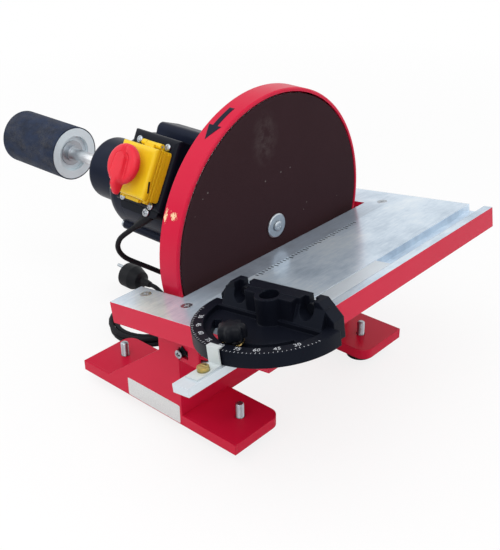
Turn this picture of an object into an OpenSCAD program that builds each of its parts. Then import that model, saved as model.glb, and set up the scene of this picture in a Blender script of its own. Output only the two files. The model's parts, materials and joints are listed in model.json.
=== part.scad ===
// Benchtop disc sander with a tilting table, a miter gauge and a sanding drum on the rear shaft end.
// +Z up, +X right along the disc, +Y back along the spindle. The bench is at Z 0, the disc face at Y 0.

/* [Disc and guard] */
// Height of the spindle axis above the bench
spindle_h = 210; // [205:1:230]
// Radius of the sanding disc
disc_r = 150; // [140:1:151]
// Thickness of the aluminium disc
disc_t = 9; // [6:0.5:11]
// Thickness of the abrasive sheet
paper_t = 1.2; // [0.8:0.1:2]
// Outer radius of the guard
guard_r = 156; // [155:0.5:157]
// Depth of the guard from lip to back
guard_depth = 26; // [24:0.5:27]
// Sheet thickness of the guard
guard_t = 2.5; // [1.5:0.1:3]
// Width of the guard's turned-in lip
lip_w = 4; // [3:0.1:4.5]

/* [Base] */
// Half width of the base over its side plates
side_out = 157.5; // [157:0.5:165]
// Thickness of a side plate
side_t = 3.5; // [2.5:0.1:3.5]
// Front end of the feet, in front of the disc face
foot_front = 77; // [70:1:90]
// Back end of the feet, behind the disc face
foot_back = 176; // [160:1:190]
// Width of one foot plate
foot_w = 72.5; // [60:0.5:80]
// Height of the foot plate's top above the bench
foot_top = 30; // [28:0.5:34]
// Height of a foot plate's turned-down rim
foot_rim = 13; // [11:0.5:13]
// Sheet thickness of the feet and cross plates
sheet_t = 2.5; // [2:0.1:3]
// Distance of a rubber foot from the spindle plane
stud_x = 115; // [105:1:125]
// Front row of rubber feet, in front of the disc face
stud_front = 45; // [35:1:50]
// Back row of rubber feet, behind the disc face
stud_back = 148; // [130:1:155]

/* [Table] */
// Half length of the table
table_half = 204; // [190:1:220]
// Depth of the table from its front edge to the notch
table_front = 153; // [140:1:160]
// Depth of the arms beside the guard
arm_depth = 64; // [50:1:70]
// Half width of the guard notch
notch_half = 160; // [160:0.5:163]
// Thickness of the table's top
top_t = 6; // [5:0.5:7]
// Height of the table's skirt
skirt_h = 24; // [18:0.5:24]
// Width of the miter slot
slot_w = 19.5; // [15:0.5:22]
// Depth of the miter slot
slot_d = 8.5; // [6:0.5:10]
// Front wall between the table's edge and the miter slot
slot_front = 11; // [8:0.5:16]
// How far the front of the table is raised as it stands
rest_tilt = 8.2; // [0:0.1:9]
// How far the front of the table can be lowered below level
tilt_down = 45; // [30:1:45]

/* [Miter gauge] */
// Length of the gauge's bar
bar_l = 298; // [250:1:320]
// Radius of the half-round head
head_r = 75; // [68:0.5:80]
// Thickness of the half-round head
head_t = 14; // [12:0.5:16]
// Half length of the fence
fence_half = 68; // [66:0.5:72]
// Height of the fence
fence_h = 36; // [32:0.5:40]
// Swing of the head to each side
head_swing = 60; // [45:1:60]

/* [Motor] */
// Radius of the motor housing
motor_r = 62; // [60:0.5:64]
// Back end of the motor housing, behind the disc face
housing_back = 196; // [190:1:200]
// Radius of the rear fan cover
cover_r = 41; // [38:0.5:44]
// Back end of the fan cover, behind the disc face
cover_back = 286; // [280:1:300]
// Radius of the shaft at its two ends
shaft_r = 8; // [7:0.1:8]

/* [Drum] */
// Front end of the sanding drum, behind the disc face
drum_front = 364; // [340:1:380]
// Length of the sanding drum
drum_l = 114; // [90:1:120]
// Outer radius of the sanding drum
drum_r = 36.8; // [30:0.2:40]

/* [Switch] */
// Turn of the switch box about the spindle, from level
box_turn = 28; // [20:1:32]
// Distance of the box's face from the spindle
box_face = 78; // [76:0.5:82]
// Length of the switch box along the motor
box_l = 76; // [72:1:80]
// Height of the switch box
box_h = 86; // [82:1:92]

/* [Cord] */
// Diameter of the cord
cord_d = 6.4; // [5.6:0.1:6.4]

/* [Hidden] */
$fn = 64;

// Overrun of every cut past the face it opens
over = 1;
// Clearance of a fastener in its hole
hole_gap = 0.2;
// Radial clearance of a running fit
run_gap = 0.05;
// Gap between plates that slide past each other
slide_gap = 0.5;

// Base
side_in = side_out - side_t;
foot_bottom = foot_top - foot_rim;
foot_corner_r = 14;
column_front = 4;
head_front = 27;
head_back = 35;
head_bottom = 105;
head_top = 142;
slope_back = 130;
stud_r = 5;
stud_shank_r = 5.4;
stud_top = 52;
stud_bottom = 6;
nut_h = 7;
nut_r = 9;
rubber_top = foot_top - sheet_t - nut_h;
rubber_r = 19;
rubber_taper = 2;
cradle_gap = 1;
cross_lip = 6;
bulkhead_drop = 70;
bulkhead_top = spindle_h - bulkhead_drop;

// Tilt pivot and lock
pivot_y = -12;
pivot_drop = 46;
pivot_z = spindle_h - pivot_drop;
pivot_r = 4;
lug_r = 11;
lock_y = -1;
lock_drop = 48;
lock_z = pivot_z - lock_drop;
lock_r = 3;
window_front = 10;
window_back = 4;
window_h = 11;
ear_t = 3.5;
ear_out = side_in - slide_gap;
ear_in = ear_out - ear_t;
ear_boss_r = 10;
ear_waist = 8;
lock_arc_r = norm([lock_y - pivot_y, lock_z - pivot_z]);
lock_angle = atan2(lock_y - pivot_y, pivot_z - lock_z);
lock_rim = 9;
ear_room_bottom = pivot_z - lock_arc_r - lock_rim - slide_gap;
ear_room_in = ear_in - 3 * slide_gap;
top_up = 24;
notch_edge = -1.5;
flange_t = 4;
flange_front = 50;
flange_end = 182;
strip_in = 166.5;
strip_back = 56;
bolt_head_h = 4;
bolt_head_r = 7;
pivot_nut_h = 5;
washer_bar_l = 18;
washer_bar_w = 8;
washer_bar_t = 1.6;
washer_bar_turn = 38;
lock_head_r = 5;
lock_head_h = 2.8;

// Table
wall_t = 5;
pivot_room = 14;
table_edge = notch_edge - table_front;
table_back = notch_edge + arm_depth;
slot_near = table_edge + slot_front;
slot_mid = slot_near + slot_w / 2;
slot_floor_t = 4;
slot_rib_w = 6;
edge_rib_half = 138;
edge_rib_h = 12;
screw_x = 172;
screw_front_y = -20;
screw_back_y = 42;
csk_r = 6;
csk_h = 3.2;
csk_hole_r = 2.6;

// Miter gauge
gauge_x = -170;
bar_side_gap = 0.25;
bar_w = slot_w - 2 * bar_side_gap;
bar_t = slot_d - bar_side_gap;
bar_out = 120;
head_lift = 0.4;
fence_face = 20;
fence_t = 15;
fence_end_h = 20;
fence_chamfer = 15;
ear_slit_y = 40;
ear_slit_w = 8;
ear_slit_d = 7;
wall_foot_out = 6;
wall_foot_h = 30;
wall_foot_half = 60;
boss_r = 14;
boss_drop = 1;
block_half = 28;
block_out = 3;
access_r = 9.5;
head_pivot_r = 4;
head_pivot_head_r = 7;
head_pivot_head_h = 3;
head_floor = 6;
knob_arc_r = 52;
knob_slot_r = 4.2;
knob_slot_over = 4;
knob_stud_r = 3.5;
recess_depth = 5;
recess_out = 63;
knob_r = 13;
knob_h = 18;
knob_collar_r = 9;
knob_collar_h = 5;
knob_lobes = 7;
knob_lobe_r = 4;
fence_screw_r = 2.5;
fence_screw_head_r = 4.5;
fence_screw_head_h = 3;
fence_screw_z = 26;
fence_pocket_r = 8;
fence_pocket_d = 8;
pointer_w = 14;
pointer_t = 1.6;
pointer_foot = 30;
pointer_rise = 18;
pointer_tip = 4;
pointer_gap = 1.5;
pointer_screw_r = 5.5;
pointer_screw_h = 4;
pointer_thread_r = 2.5;

// Motor
flange_r = 64;
flange_y = guard_depth;
bell_front_l = 18;
housing_front = flange_y + bell_front_l;
housing_wall = 4.5;
bell_web_t = 6;
bearing_r = 20;
bearing_w = 12;
bearing_front = flange_y + bell_web_t;
journal_r = 8.5;
press_gap = 0.02;
seat_r = bearing_r + press_gap;
seat_wall = 6;
rear_bell_l = 32;
rear_bell_round = 18;
bearing_back = housing_back + rear_bell_l - bearing_w - bell_web_t;
cover_wall = 1.6;
cover_round = 7;
cover_spigot = 6;
cover_hole_r = 14;
vent_count = 12;
vent_w = 4;
vent_in = 19;
vent_out = 32;
rib_count = 4;
rib_r = 6;
rib_at = 63.5;
tie_r = 2.5;
tie_head_r = 4.6;
tie_head_h = 4;
tie_thread = 10;
core_front = 84;
core_l = 76;
core_bore_r = 34.6;
air_gap = 0.6;
winding_l = 18;
winding_r = 9;
winding_at = 46;
rotor_ring_l = 8;
rotor_ring_r = 28;
shaft_mid_r = 11;
shaft_front = 3;
sleeve_t = 1.6;
drum_nut_h = 10;
drum_nut_r = 10.5;
drum_washer_t = 6;
drum_washer_r = 17;
drum_recess_r = 24;
drum_recess_d = 6;
drum_seat = drum_front + drum_l - drum_recess_d;
drum_washer_wall = 2;
drum_collar_r = 11;
shaft_proud = 2;
shaft_back = drum_seat + drum_washer_t + drum_nut_h + shaft_proud;
fan_front = housing_back + rear_bell_l + 8;
fan_hub_r = 14;
fan_hub_l = 20;
fan_r = 34;
fan_blades = 8;
fan_blade_t = 2;
fan_plate_t = 2.5;
hub_r = 26;
hub_l = 8;
disc_bore_back = paper_t + disc_t + hub_l;
disc_washer_r = 14.5;
disc_washer_t = 2.2;
disc_washer_round = 1;
disc_screw_head_r = 6;
disc_screw_head_h = 2.4;
disc_screw_r = 4;
disc_screw_l = 24;
flange_bolt_at = 50;
flange_bolt_r = 3;
flange_bolt_l = 12;
flange_head_r = 5;
flange_head_h = 4;
guard_hole_r = 30;
guard_bolt_r = 3;
guard_bolt_low = [45, 125];
guard_bolt_high = [100, 92];
guard_bolt_head_r = 5.5;
guard_bolt_head_h = 4;
guard_nut_h = 5;
cap_front = 72;
cap_back = 194;
cap_half = 22;
cap_top = 78;
cap_round = 9;
cap_turn = 20;

// Switch, in a frame turned with the box: outward is -X, up is +Z
box_mid_y = 145;
box_in = 34;
box_mid_z = 15;
box_corner_r = 8;
box_edge_round = 6;
base_step = 6;
base_drop = 9;
base_bottom = box_mid_z - box_h / 2 - base_drop;
box_screw_y = 23.5;
box_screw_z = 35;
box_screw_r = 1.8;
box_screw_l = 14;
box_screw_head_r = 3.6;
box_screw_head_h = 2.2;
frame_w = 58;
frame_h = 60;
frame_t = 7;
frame_wall = 4;
frame_corner_r = 4;
frame_shift = 3.5;
frame_mid_y = box_mid_y - frame_shift;
frame_mid_z = 11.5;
window_w = 32;
window_tall = 36;
module_d = 10.5;
lid_gap = 0.4;
lid_d = 18;
lid_wall = 2.2;
lid_round = 5;
groove_w = 1.4;
groove_d = 1;
groove_step = 4.5;
lip_t = 2.5;
lip_h = 4;
lip_half = 23;
notch_w = 2.4;
notch_step = 7;
link_t = 3;
lid_hole_r = 9;
hinge_out = 5;
hinge_up = 3.6;
hinge_x = -box_face - hinge_out;
hinge_z = frame_mid_z + frame_h / 2 + hinge_up;
hinge_r = 3.4;
hinge_pin_r = 1.5;
knuckle_w = 8;
knuckle_at = 12;
lid_knuckle_half = knuckle_at - knuckle_w / 2 - lid_gap;
pin_half = knuckle_at + knuckle_w / 2;
latch_w = 22;
latch_h = 5;
presser_r = 3;
presser_y = 5;
presser_gap = 0.3;
paddle_r = 23.3;
paddle_up = 3;
paddle_mid_z = frame_mid_z + paddle_up;
paddle_head_t = 9;
paddle_round = 4;
paddle_stem_r = 8.6;
paddle_stem_l = 22;
paddle_lift = 11.6;
paddle_ridge_w = 15;
paddle_ridge_t = 5;
paddle_tab_l = 17;
paddle_tab_w = 8;
button_w = 11;
button_h = 24;
button_t = 8;
button_gap = 0.4;
button_y = 7.5;
button_r = 2;
button_proud = 5;

// Cord: gland on the box's underside, free run, coil on the bench, tail and plug
gland_x = -64;
gland_y = 132;
gland_lean = 45;
gland_l = 22;
gland_r = 5.5;
gland_tip_r = 4.2;
gland_straight_l = 7;
gland_depth = 3;
duct_r = 2.5;
duct_x = gland_x - duct_r;
duct_y = gland_y - gland_r;
cord_r = cord_d / 2;
cord_sides = 10;
coil_sides = 6;
coil_rings = 24;
coil_mid = [-15, 212];
coil_r = 57;
coil_pitch = 7.1;
coil_turns = 4;
coil_lift = 7.2;
coil_low = 3.6;
plug_at = [42, 290, 18.5];
plug_r = 18;
plug_l = 34;
plug_neck_l = 16;
plug_neck_r = 6.5;
plug_grip_r = 13;
plug_round = 3;
pin_r = 2.4;
pin_l = 19;
pin_gap = 19;

// Route of the free run, from the gland's tip to the coil's upper end, chosen by hand
run_points = [
    [-81.2, 147.6, 193.6], [-83.6, 152.7, 189.1], [-86, 157.7, 184.7], [-88.3, 162.8, 180.2],
    [-90.2, 168, 174.7], [-90.6, 172.2, 168.3], [-89.6, 175.4, 161.3], [-87.1, 177.1, 154.1],
    [-83.3, 177.4, 147.4], [-78.6, 176.2, 141.4], [-73.1, 173.6, 136.6], [-65.8, 169.4, 131.2],
    [-58.4, 165.2, 125.9], [-51.1, 161, 120.6], [-30.5, 150.8, 104.8], [-15.5, 147.6, 90.2],
    [-2, 147.8, 75.4], [10, 150.8, 60.6], [20.6, 156.3, 46.6], [29.6, 163.9, 33.8], [36.5, 173.3, 23.4],
    [40.6, 183.7, 16], [42, 194.2, 12], [42, 205.6, 10.8]
];
// Route of the tail, from the coil's lower end to the plug's neck, chosen by hand
tail_points = [
    [42, 218.4, 3.6], [42, 225.6, 3.6], [42, 232.5, 4.7], [42, 240, 7.6], [42, 247, 11.2], [42, 254, 14.8],
    [42, 261, 17.5], [42, 267, 18.5], [42, 274, 18.5]
];

// Shared shapes

// A solid of revolution about the spindle, from points of radius and distance behind the disc face
module turned(points) {
    translate([0, 0, spindle_h])
        rotate([-90, 0, 0])
            rotate_extrude($fn = 96)
                polygon(points);
}

// A rod along the spindle's direction, at a place across it
module rod_y(r, from, to, x = 0, z = 0) {
    translate([x, from, spindle_h + z])
        rotate([-90, 0, 0])
            cylinder(r = r, h = to - from);
}

// A rod along X at a place in the side view
module rod_x(r, from, to, y, z) {
    translate([from, y, z])
        rotate([0, 90, 0])
            cylinder(r = r, h = to - from);
}

// A rectangle with round corners, centred
module round_rect(w, h, r) {
    square([w - 2 * r, h], center = true);
    square([w, h - 2 * r], center = true);
    for (sx = [-1, 1], sy = [-1, 1])
        translate([sx * (w / 2 - r), sy * (h / 2 - r)])
            circle(r = r, $fn = 32);
}

// A plate seen from the side, between two places across the machine
module side_sheet(from, to) {
    translate([from, 0, 0])
        rotate([90, 0, 90])
            linear_extrude(height = to - from)
                children();
}

// A plate seen from the front, between two places along the spindle
module front_sheet(from, to) {
    translate([0, to, 0])
        rotate([90, 0, 0])
            linear_extrude(height = to - from)
                children();
}

module mirrored_pair() {
    children();
    mirror([1, 0, 0])
        children();
}

module at_studs() {
    for (sx = [-1, 1], y = [-stud_front, stud_back])
        translate([sx * stud_x, y, 0])
            children();
}

module hex_rod(r, h) {
    cylinder(r = r, h = h, $fn = 6);
}

// The table's own frame: origin on the tilt pivot, Y along the table, Z square to it
module on_table() {
    translate([0, pivot_y, pivot_z])
        rotate([-rest_tilt, 0, 0])
            children();
}

// The gauge's own frame: origin on the head's pivot at the table's surface
module on_gauge() {
    on_table()
        translate([gauge_x, slot_mid, top_up])
            children();
}

// The switch's own frame: turned about the spindle
module on_flank() {
    translate([0, 0, spindle_h])
        rotate([0, box_turn, 0])
            children();
}

// A plate parallel to the box's face, from one depth to another, drawn across the motor and upwards
module flank_sheet(from, to) {
    translate([-from, 0, 0])
        rotate([0, -90, 0])
            rotate([0, 0, -90])
                mirror([1, 0, 0])
                    linear_extrude(height = to - from)
                        children();
}

// Base

module side_outline() {
    difference() {
        union() {
            polygon([
                [-foot_front, foot_bottom], [foot_back, foot_bottom], [foot_back, foot_top],
                [slope_back, foot_top], [head_back, head_bottom], [head_back, head_top],
                [pivot_y + lug_r, pivot_z], [pivot_y - lug_r, pivot_z], [-head_front, head_top],
                [-head_front, head_bottom], [column_front, head_bottom], [column_front, foot_top],
                [-foot_front, foot_top]
            ]);
            translate([pivot_y, pivot_z])
                circle(r = lug_r);
        }
        translate([pivot_y, pivot_z])
            circle(r = pivot_r + hole_gap);
        translate([lock_y - window_front, lock_z - window_h / 2])
            square([window_front + window_back, window_h]);
    }
}

module left_side_plate() {
    color("crimson")
        side_sheet(-side_out, -side_in)
            side_outline();
}

module right_side_plate() {
    color("crimson")
        side_sheet(side_in, side_out)
            side_outline();
}

module foot_outline(inset) {
    l = foot_front + foot_back - 2 * inset;
    w = foot_w - 2 * inset;
    translate([side_in - foot_w / 2, (foot_back - foot_front) / 2]) {
        round_rect(w, l, foot_corner_r - inset);
        translate([w / 4, 0])
            square([w / 2, l], center = true);
    }
}

module foot_plate() {
    difference() {
        translate([0, 0, foot_bottom])
            linear_extrude(height = foot_rim)
                foot_outline(0);
        translate([0, 0, foot_bottom - over])
            linear_extrude(height = foot_rim - sheet_t + over)
                foot_outline(sheet_t);
        at_studs()
            cylinder(r = stud_shank_r + hole_gap, h = foot_top + over);
    }
}

module left_foot_plate() {
    color("crimson")
        mirror([1, 0, 0])
            foot_plate();
}

module right_foot_plate() {
    color("crimson")
        foot_plate();
}

module front_cross_plate() {
    color("firebrick")
        front_sheet(column_front, column_front + sheet_t)
            difference() {
                union() {
                    translate([-side_in, foot_top])
                        square([2 * side_in, head_bottom - foot_top]);
                    translate([foot_w - side_in, foot_top - cross_lip])
                        square([2 * (side_in - foot_w), cross_lip]);
                }
                translate([0, spindle_h])
                    circle(r = guard_r + cradle_gap, $fn = 128);
            }
}

module at_guard_bolts() {
    for (sx = [-1, 1], p = [guard_bolt_low, guard_bolt_high])
        translate([sx * p[0], 0, spindle_h - p[1]])
            rotate([-90, 0, 0])
                children();
}

module rear_bulkhead() {
    color("firebrick")
        difference() {
            front_sheet(guard_depth, guard_depth + sheet_t)
                polygon([
                    [-side_in, foot_top], [side_in, foot_top], [side_in, ear_room_bottom],
                    [ear_room_in, ear_room_bottom], [ear_room_in, bulkhead_top], [-ear_room_in, bulkhead_top],
                    [-ear_room_in, ear_room_bottom], [-side_in, ear_room_bottom]
                ]);
            at_guard_bolts()
                cylinder(r = guard_bolt_r + hole_gap, h = guard_depth + sheet_t + over);
        }
}

module rubber_feet() {
    color("#1a1a1a")
        at_studs()
            difference() {
                cylinder(r1 = rubber_r - rubber_taper, r2 = rubber_r, h = rubber_top);
                translate([0, 0, stud_bottom])
                    cylinder(r = stud_shank_r + run_gap, h = rubber_top);
            }
}

module foot_studs() {
    color("silver")
        at_studs()
            translate([0, 0, stud_bottom]) {
                cylinder(r = stud_shank_r, h = foot_top - stud_bottom);
                cylinder(r = stud_r, h = stud_top - stud_bottom);
            }
}

module foot_nuts() {
    color("silver")
        at_studs()
            translate([0, 0, rubber_top])
                difference() {
                    hex_rod(nut_r, nut_h);
                    translate([0, 0, -over])
                        cylinder(r = stud_shank_r + run_gap, h = nut_h + 2 * over);
                }
}

// Guard

module at_flange_bolts() {
    for (a = [45 : 90 : 315])
        translate([flange_bolt_at * cos(a), 0, spindle_h + flange_bolt_at * sin(a)])
            rotate([-90, 0, 0])
                children();
}

module disc_guard() {
    color("crimson")
        difference() {
            turned([
                [guard_hole_r, guard_depth - guard_t], [guard_r - guard_t, guard_depth - guard_t],
                [guard_r - guard_t, guard_t], [guard_r - lip_w, guard_t], [guard_r - lip_w, 0],
                [guard_r - guard_t / 2, 0], [guard_r, guard_t / 2], [guard_r, guard_depth],
                [guard_hole_r, guard_depth]
            ]);
            at_flange_bolts()
                cylinder(r = flange_bolt_r + hole_gap, h = guard_depth + over);
            at_guard_bolts()
                cylinder(r = guard_bolt_r + hole_gap, h = guard_depth + over);
        }
}

module guard_bolts() {
    color("silver")
        at_guard_bolts() {
            translate([0, 0, guard_depth - guard_t - guard_bolt_head_h])
                hex_rod(guard_bolt_head_r, guard_bolt_head_h);
            translate([0, 0, guard_depth - guard_t])
                cylinder(r = guard_bolt_r, h = guard_t + sheet_t);
            translate([0, 0, guard_depth + sheet_t])
                hex_rod(guard_bolt_head_r, guard_nut_h);
        }
}

module flange_bolts() {
    color("silver")
        at_flange_bolts() {
            translate([0, 0, guard_depth - guard_t - flange_head_h])
                cylinder(r = flange_head_r, h = flange_head_h);
            translate([0, 0, guard_depth - guard_t])
                cylinder(r = flange_bolt_r, h = guard_t + flange_bolt_l);
        }
}

// Motor

module at_ribs() {
    for (a = [45 : 360 / rib_count : 405 - 360 / rib_count])
        translate([rib_at * cos(a), 0, spindle_h + rib_at * sin(a)])
            rotate([-90, 0, 0])
                children();
}

module front_bell() {
    color("#26282c")
        difference() {
            union() {
                turned([
                    [journal_r + 2 * hole_gap, flange_y], [flange_r, flange_y],
                    [flange_r, flange_y + bell_web_t], [motor_r, flange_y + bell_web_t],
                    [motor_r, housing_front], [motor_r - housing_wall, housing_front],
                    [motor_r - housing_wall, flange_y + bell_web_t + seat_wall],
                    [seat_r + seat_wall, flange_y + bell_web_t + seat_wall],
                    [seat_r + seat_wall, bearing_front + bearing_w], [seat_r, bearing_front + bearing_w],
                    [seat_r, bearing_front], [journal_r + 2 * hole_gap, bearing_front]
                ]);
                at_ribs()
                    translate([0, 0, flange_y + bell_web_t])
                        cylinder(r = rib_r, h = bell_front_l - bell_web_t);
            }
            at_ribs()
                translate([0, 0, housing_front - tie_thread])
                    cylinder(r = tie_r + run_gap, h = tie_thread + over);
            at_flange_bolts()
                translate([0, 0, flange_y - over])
                    cylinder(r = flange_bolt_r + run_gap, h = flange_bolt_l + over + run_gap);
        }
}

module motor_housing() {
    color("#1f2125")
        difference() {
            union() {
                rod_y(motor_r, housing_front, housing_back);
                at_ribs()
                    translate([0, 0, housing_front])
                        cylinder(r = rib_r, h = housing_back - housing_front);
            }
            rod_y(motor_r - housing_wall, housing_front - over, housing_back + over);
            at_ribs()
                translate([0, 0, housing_front - over])
                    cylinder(r = tie_r + hole_gap, h = housing_back - housing_front + 2 * over);
        }
}

module rear_bell() {
    back = housing_back + rear_bell_l;
    shoulder = back - rear_bell_round;
    neck_r = motor_r - rear_bell_round;
    color("#26282c")
        difference() {
            union() {
                turned(concat(
                    [[journal_r + 2 * hole_gap, bearing_back + bearing_w], [seat_r, bearing_back + bearing_w],
                     [seat_r, bearing_back], [seat_r + seat_wall, bearing_back],
                     [seat_r + seat_wall, shoulder], [motor_r - housing_wall, shoulder - seat_wall],
                     [motor_r - housing_wall, housing_back], [motor_r, housing_back]],
                    [for (a = [0 : 15 : 90])
                        [neck_r + rear_bell_round * cos(a), shoulder + rear_bell_round * sin(a)]],
                    [[cover_r - cover_wall - run_gap, back],
                     [cover_r - cover_wall - run_gap, back + cover_spigot],
                     [cover_r - cover_wall - seat_wall, back + cover_spigot],
                     [cover_r - cover_wall - seat_wall, back], [journal_r + 2 * hole_gap, back]]
                ));
                at_ribs()
                    translate([0, 0, housing_back])
                        cylinder(r = rib_r, h = shoulder - housing_back);
            }
            at_ribs() {
                translate([0, 0, housing_back - over])
                    cylinder(r = tie_r + hole_gap, h = rear_bell_l);
                translate([0, 0, shoulder])
                    cylinder(r = tie_head_r + hole_gap, h = rear_bell_round);
            }
        }
}

module fan_cover() {
    front = housing_back + rear_bell_l;
    color("#2b2e33")
        difference() {
            turned(concat(
                [[cover_r - cover_wall, front], [cover_r, front]],
                [for (a = [0 : 15 : 90])
                    [cover_r - cover_round + cover_round * cos(a),
                     cover_back - cover_round + cover_round * sin(a)]],
                [[cover_hole_r, cover_back], [cover_hole_r, cover_back - cover_wall]],
                [for (a = [90 : -15 : 0])
                    [cover_r - cover_round + (cover_round - cover_wall) * cos(a),
                     cover_back - cover_round + (cover_round - cover_wall) * sin(a)]]
            ));
            for (i = [0 : vent_count - 1])
                translate([0, 0, spindle_h])
                    rotate([0, i * 360 / vent_count, 0])
                        translate([vent_in, cover_back - cover_wall - over, -vent_w / 2])
                            cube([vent_out - vent_in, cover_wall + 2 * over, vent_w]);
        }
}

module tie_bolts() {
    shoulder = housing_back + rear_bell_l - rear_bell_round;
    color("silver")
        at_ribs() {
            translate([0, 0, housing_front - tie_thread])
                cylinder(r = tie_r, h = shoulder - housing_front + tie_thread);
            translate([0, 0, shoulder])
                cylinder(r = tie_head_r, h = tie_head_h);
        }
}

module stator_core() {
    color("slategray")
        difference() {
            rod_y(motor_r - housing_wall - run_gap, core_front, core_front + core_l);
            rod_y(core_bore_r, core_front - over, core_front + core_l + over);
        }
}

module stator_windings() {
    color("peru")
        for (y = [core_front - winding_l, core_front + core_l])
            translate([0, y + winding_l / 2, spindle_h])
                rotate([-90, 0, 0])
                    rotate_extrude()
                        translate([winding_at, 0])
                            round_rect(2 * winding_r, winding_l, winding_r / 2);
}

module shaft_bearings() {
    color("lightsteelblue")
        for (y = [bearing_front, bearing_back])
            difference() {
                rod_y(bearing_r, y, y + bearing_w);
                rod_y(journal_r + run_gap, y - over, y + bearing_w + over);
            }
}

module capacitor_cover() {
    color("#1f2125")
        difference() {
            translate([0, 0, spindle_h])
                rotate([0, cap_turn, 0])
                    translate([0, cap_back, 0])
                        rotate([90, 0, 0])
                            linear_extrude(height = cap_back - cap_front) {
                                translate([0, cap_top - cap_half])
                                    round_rect(2 * cap_half, 2 * cap_half, cap_round);
                                translate([-cap_half, cap_top - 2 * cap_half])
                                    square([2 * cap_half, cap_half]);
                            }
            rod_y(motor_r, cap_front - over, cap_back + over);
            at_ribs()
                cylinder(r = rib_r + run_gap, h = housing_back);
        }
}

module shaft_seat_cut(r) {
    rod_y(r + run_gap, -over, shaft_back + over);
}

module motor_shaft() {
    front_step = disc_bore_back;
    back_step = bearing_back + bearing_w;
    color("gainsboro")
        difference() {
            turned([
                [0, shaft_front], [shaft_r, shaft_front], [shaft_r, front_step], [journal_r, front_step],
                [journal_r, bearing_front + bearing_w], [shaft_mid_r, bearing_front + bearing_w],
                [shaft_mid_r, bearing_back], [journal_r, bearing_back], [journal_r, back_step],
                [shaft_r, back_step], [shaft_r, shaft_back], [0, shaft_back]
            ]);
            rod_y(disc_screw_r + run_gap, shaft_front - over, disc_screw_l + over);
        }
}

module rotor_core() {
    color("silver")
        difference() {
            union() {
                rod_y(core_bore_r - air_gap, core_front, core_front + core_l);
                rod_y(rotor_ring_r, core_front - rotor_ring_l, core_front + core_l + rotor_ring_l);
            }
            shaft_seat_cut(shaft_mid_r);
        }
}

module cooling_fan() {
    blade_in = (fan_hub_r + shaft_r) / 2;
    blade_out = fan_r - fan_blade_t;
    color("#303030")
        difference() {
            union() {
                rod_y(fan_hub_r, fan_front, fan_front + fan_hub_l);
                rod_y(fan_r, fan_front, fan_front + fan_plate_t);
                for (i = [0 : fan_blades - 1])
                    translate([0, fan_front + fan_plate_t / 2, spindle_h])
                        rotate([0, i * 360 / fan_blades, 0])
                            translate([blade_in, 0, -fan_blade_t / 2])
                                cube([blade_out - blade_in, fan_hub_l - fan_plate_t, fan_blade_t]);
            }
            shaft_seat_cut(shaft_r);
        }
}

// Disc

module disc_plate() {
    back = paper_t + disc_t;
    color("lightgray")
        turned([
            [shaft_r + run_gap, paper_t], [disc_r, paper_t], [disc_r, back], [hub_r, back],
            [hub_r, back + hub_l], [shaft_r + run_gap, back + hub_l]
        ]);
}

module abrasive_disc() {
    color("#4a352f")
        turned([[shaft_r + run_gap, 0], [disc_r, 0], [disc_r, paper_t], [shaft_r + run_gap, paper_t]]);
}

module disc_washer() {
    color("silver")
        turned([
            [disc_screw_r + run_gap, 0], [disc_screw_r + run_gap, -disc_washer_t],
            [disc_washer_r - disc_washer_round, -disc_washer_t],
            [disc_washer_r, disc_washer_round - disc_washer_t], [disc_washer_r, 0]
        ]);
}

module disc_screw() {
    color("silver")
        turned([
            [0, -disc_washer_t - disc_screw_head_h], [disc_screw_r, -disc_washer_t - disc_screw_head_h],
            [disc_screw_head_r, -disc_washer_t - disc_screw_head_h / 2], [disc_screw_head_r, -disc_washer_t],
            [disc_screw_r, -disc_washer_t], [disc_screw_r, disc_screw_l], [0, disc_screw_l]
        ]);
}

// Drum

module drum_core() {
    color("#b9bcc0")
        turned([
            [shaft_r + run_gap, drum_front + drum_recess_d], [drum_recess_r, drum_front + drum_recess_d],
            [drum_recess_r, drum_front], [drum_r - sleeve_t, drum_front],
            [drum_r - sleeve_t, drum_front + drum_l], [drum_recess_r, drum_front + drum_l],
            [drum_recess_r, drum_seat], [shaft_r + run_gap, drum_seat]
        ]);
}

module drum_sleeve() {
    color("#23211f")
        difference() {
            rod_y(drum_r, drum_front, drum_front + drum_l);
            rod_y(drum_r - sleeve_t + run_gap, drum_front - over, drum_front + drum_l + over);
        }
}

module cup_washer(seat, dir) {
    rim = seat + dir * drum_washer_t;
    web = seat + dir * drum_washer_wall;
    turned([
        [shaft_r + run_gap, seat], [drum_washer_r, seat], [drum_washer_r, web],
        [drum_collar_r, web], [drum_collar_r, rim], [shaft_r + run_gap, rim]
    ]);
}

module drum_washers() {
    color("silver") {
        cup_washer(drum_front + drum_recess_d, -1);
        cup_washer(drum_seat, 1);
    }
}

module drum_nut() {
    color("silver")
        difference() {
            translate([0, drum_seat + drum_washer_t, spindle_h])
                rotate([-90, 0, 0])
                    hex_rod(drum_nut_r, drum_nut_h);
            shaft_seat_cut(shaft_r);
        }
}

// Switch

module at_box_screws() {
    for (sy = [-1, 1], sz = [-1, 1])
        translate([-box_face, box_mid_y + sy * box_screw_y, frame_mid_z + sz * box_screw_z])
            rotate([0, 90, 0])
                children();
}

// Half outline of a cover from its back to its face, with the face's edges rounded
function eased(from, to, half, edge) = concat(
    [[-from, -half]],
    [for (a = [0 : 15 : 90]) [edge - to - edge * sin(a), edge - half - edge * cos(a)]],
    [for (a = [0 : 15 : 90]) [edge - to - edge * cos(a), half - edge + edge * sin(a)]],
    [[-from, half]]
);

// A cover whose face is rounded along all four edges: the shape that two rounded profiles share
module eased_cover(from, to, wide, tall, edge) {
    intersection() {
        translate([0, 0, -tall / 2])
            linear_extrude(height = tall)
                polygon(eased(from, to, wide / 2, edge));
        translate([0, wide / 2, 0])
            rotate([90, 0, 0])
                linear_extrude(height = wide)
                    polygon(eased(from, to, tall / 2, edge));
    }
}

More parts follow.
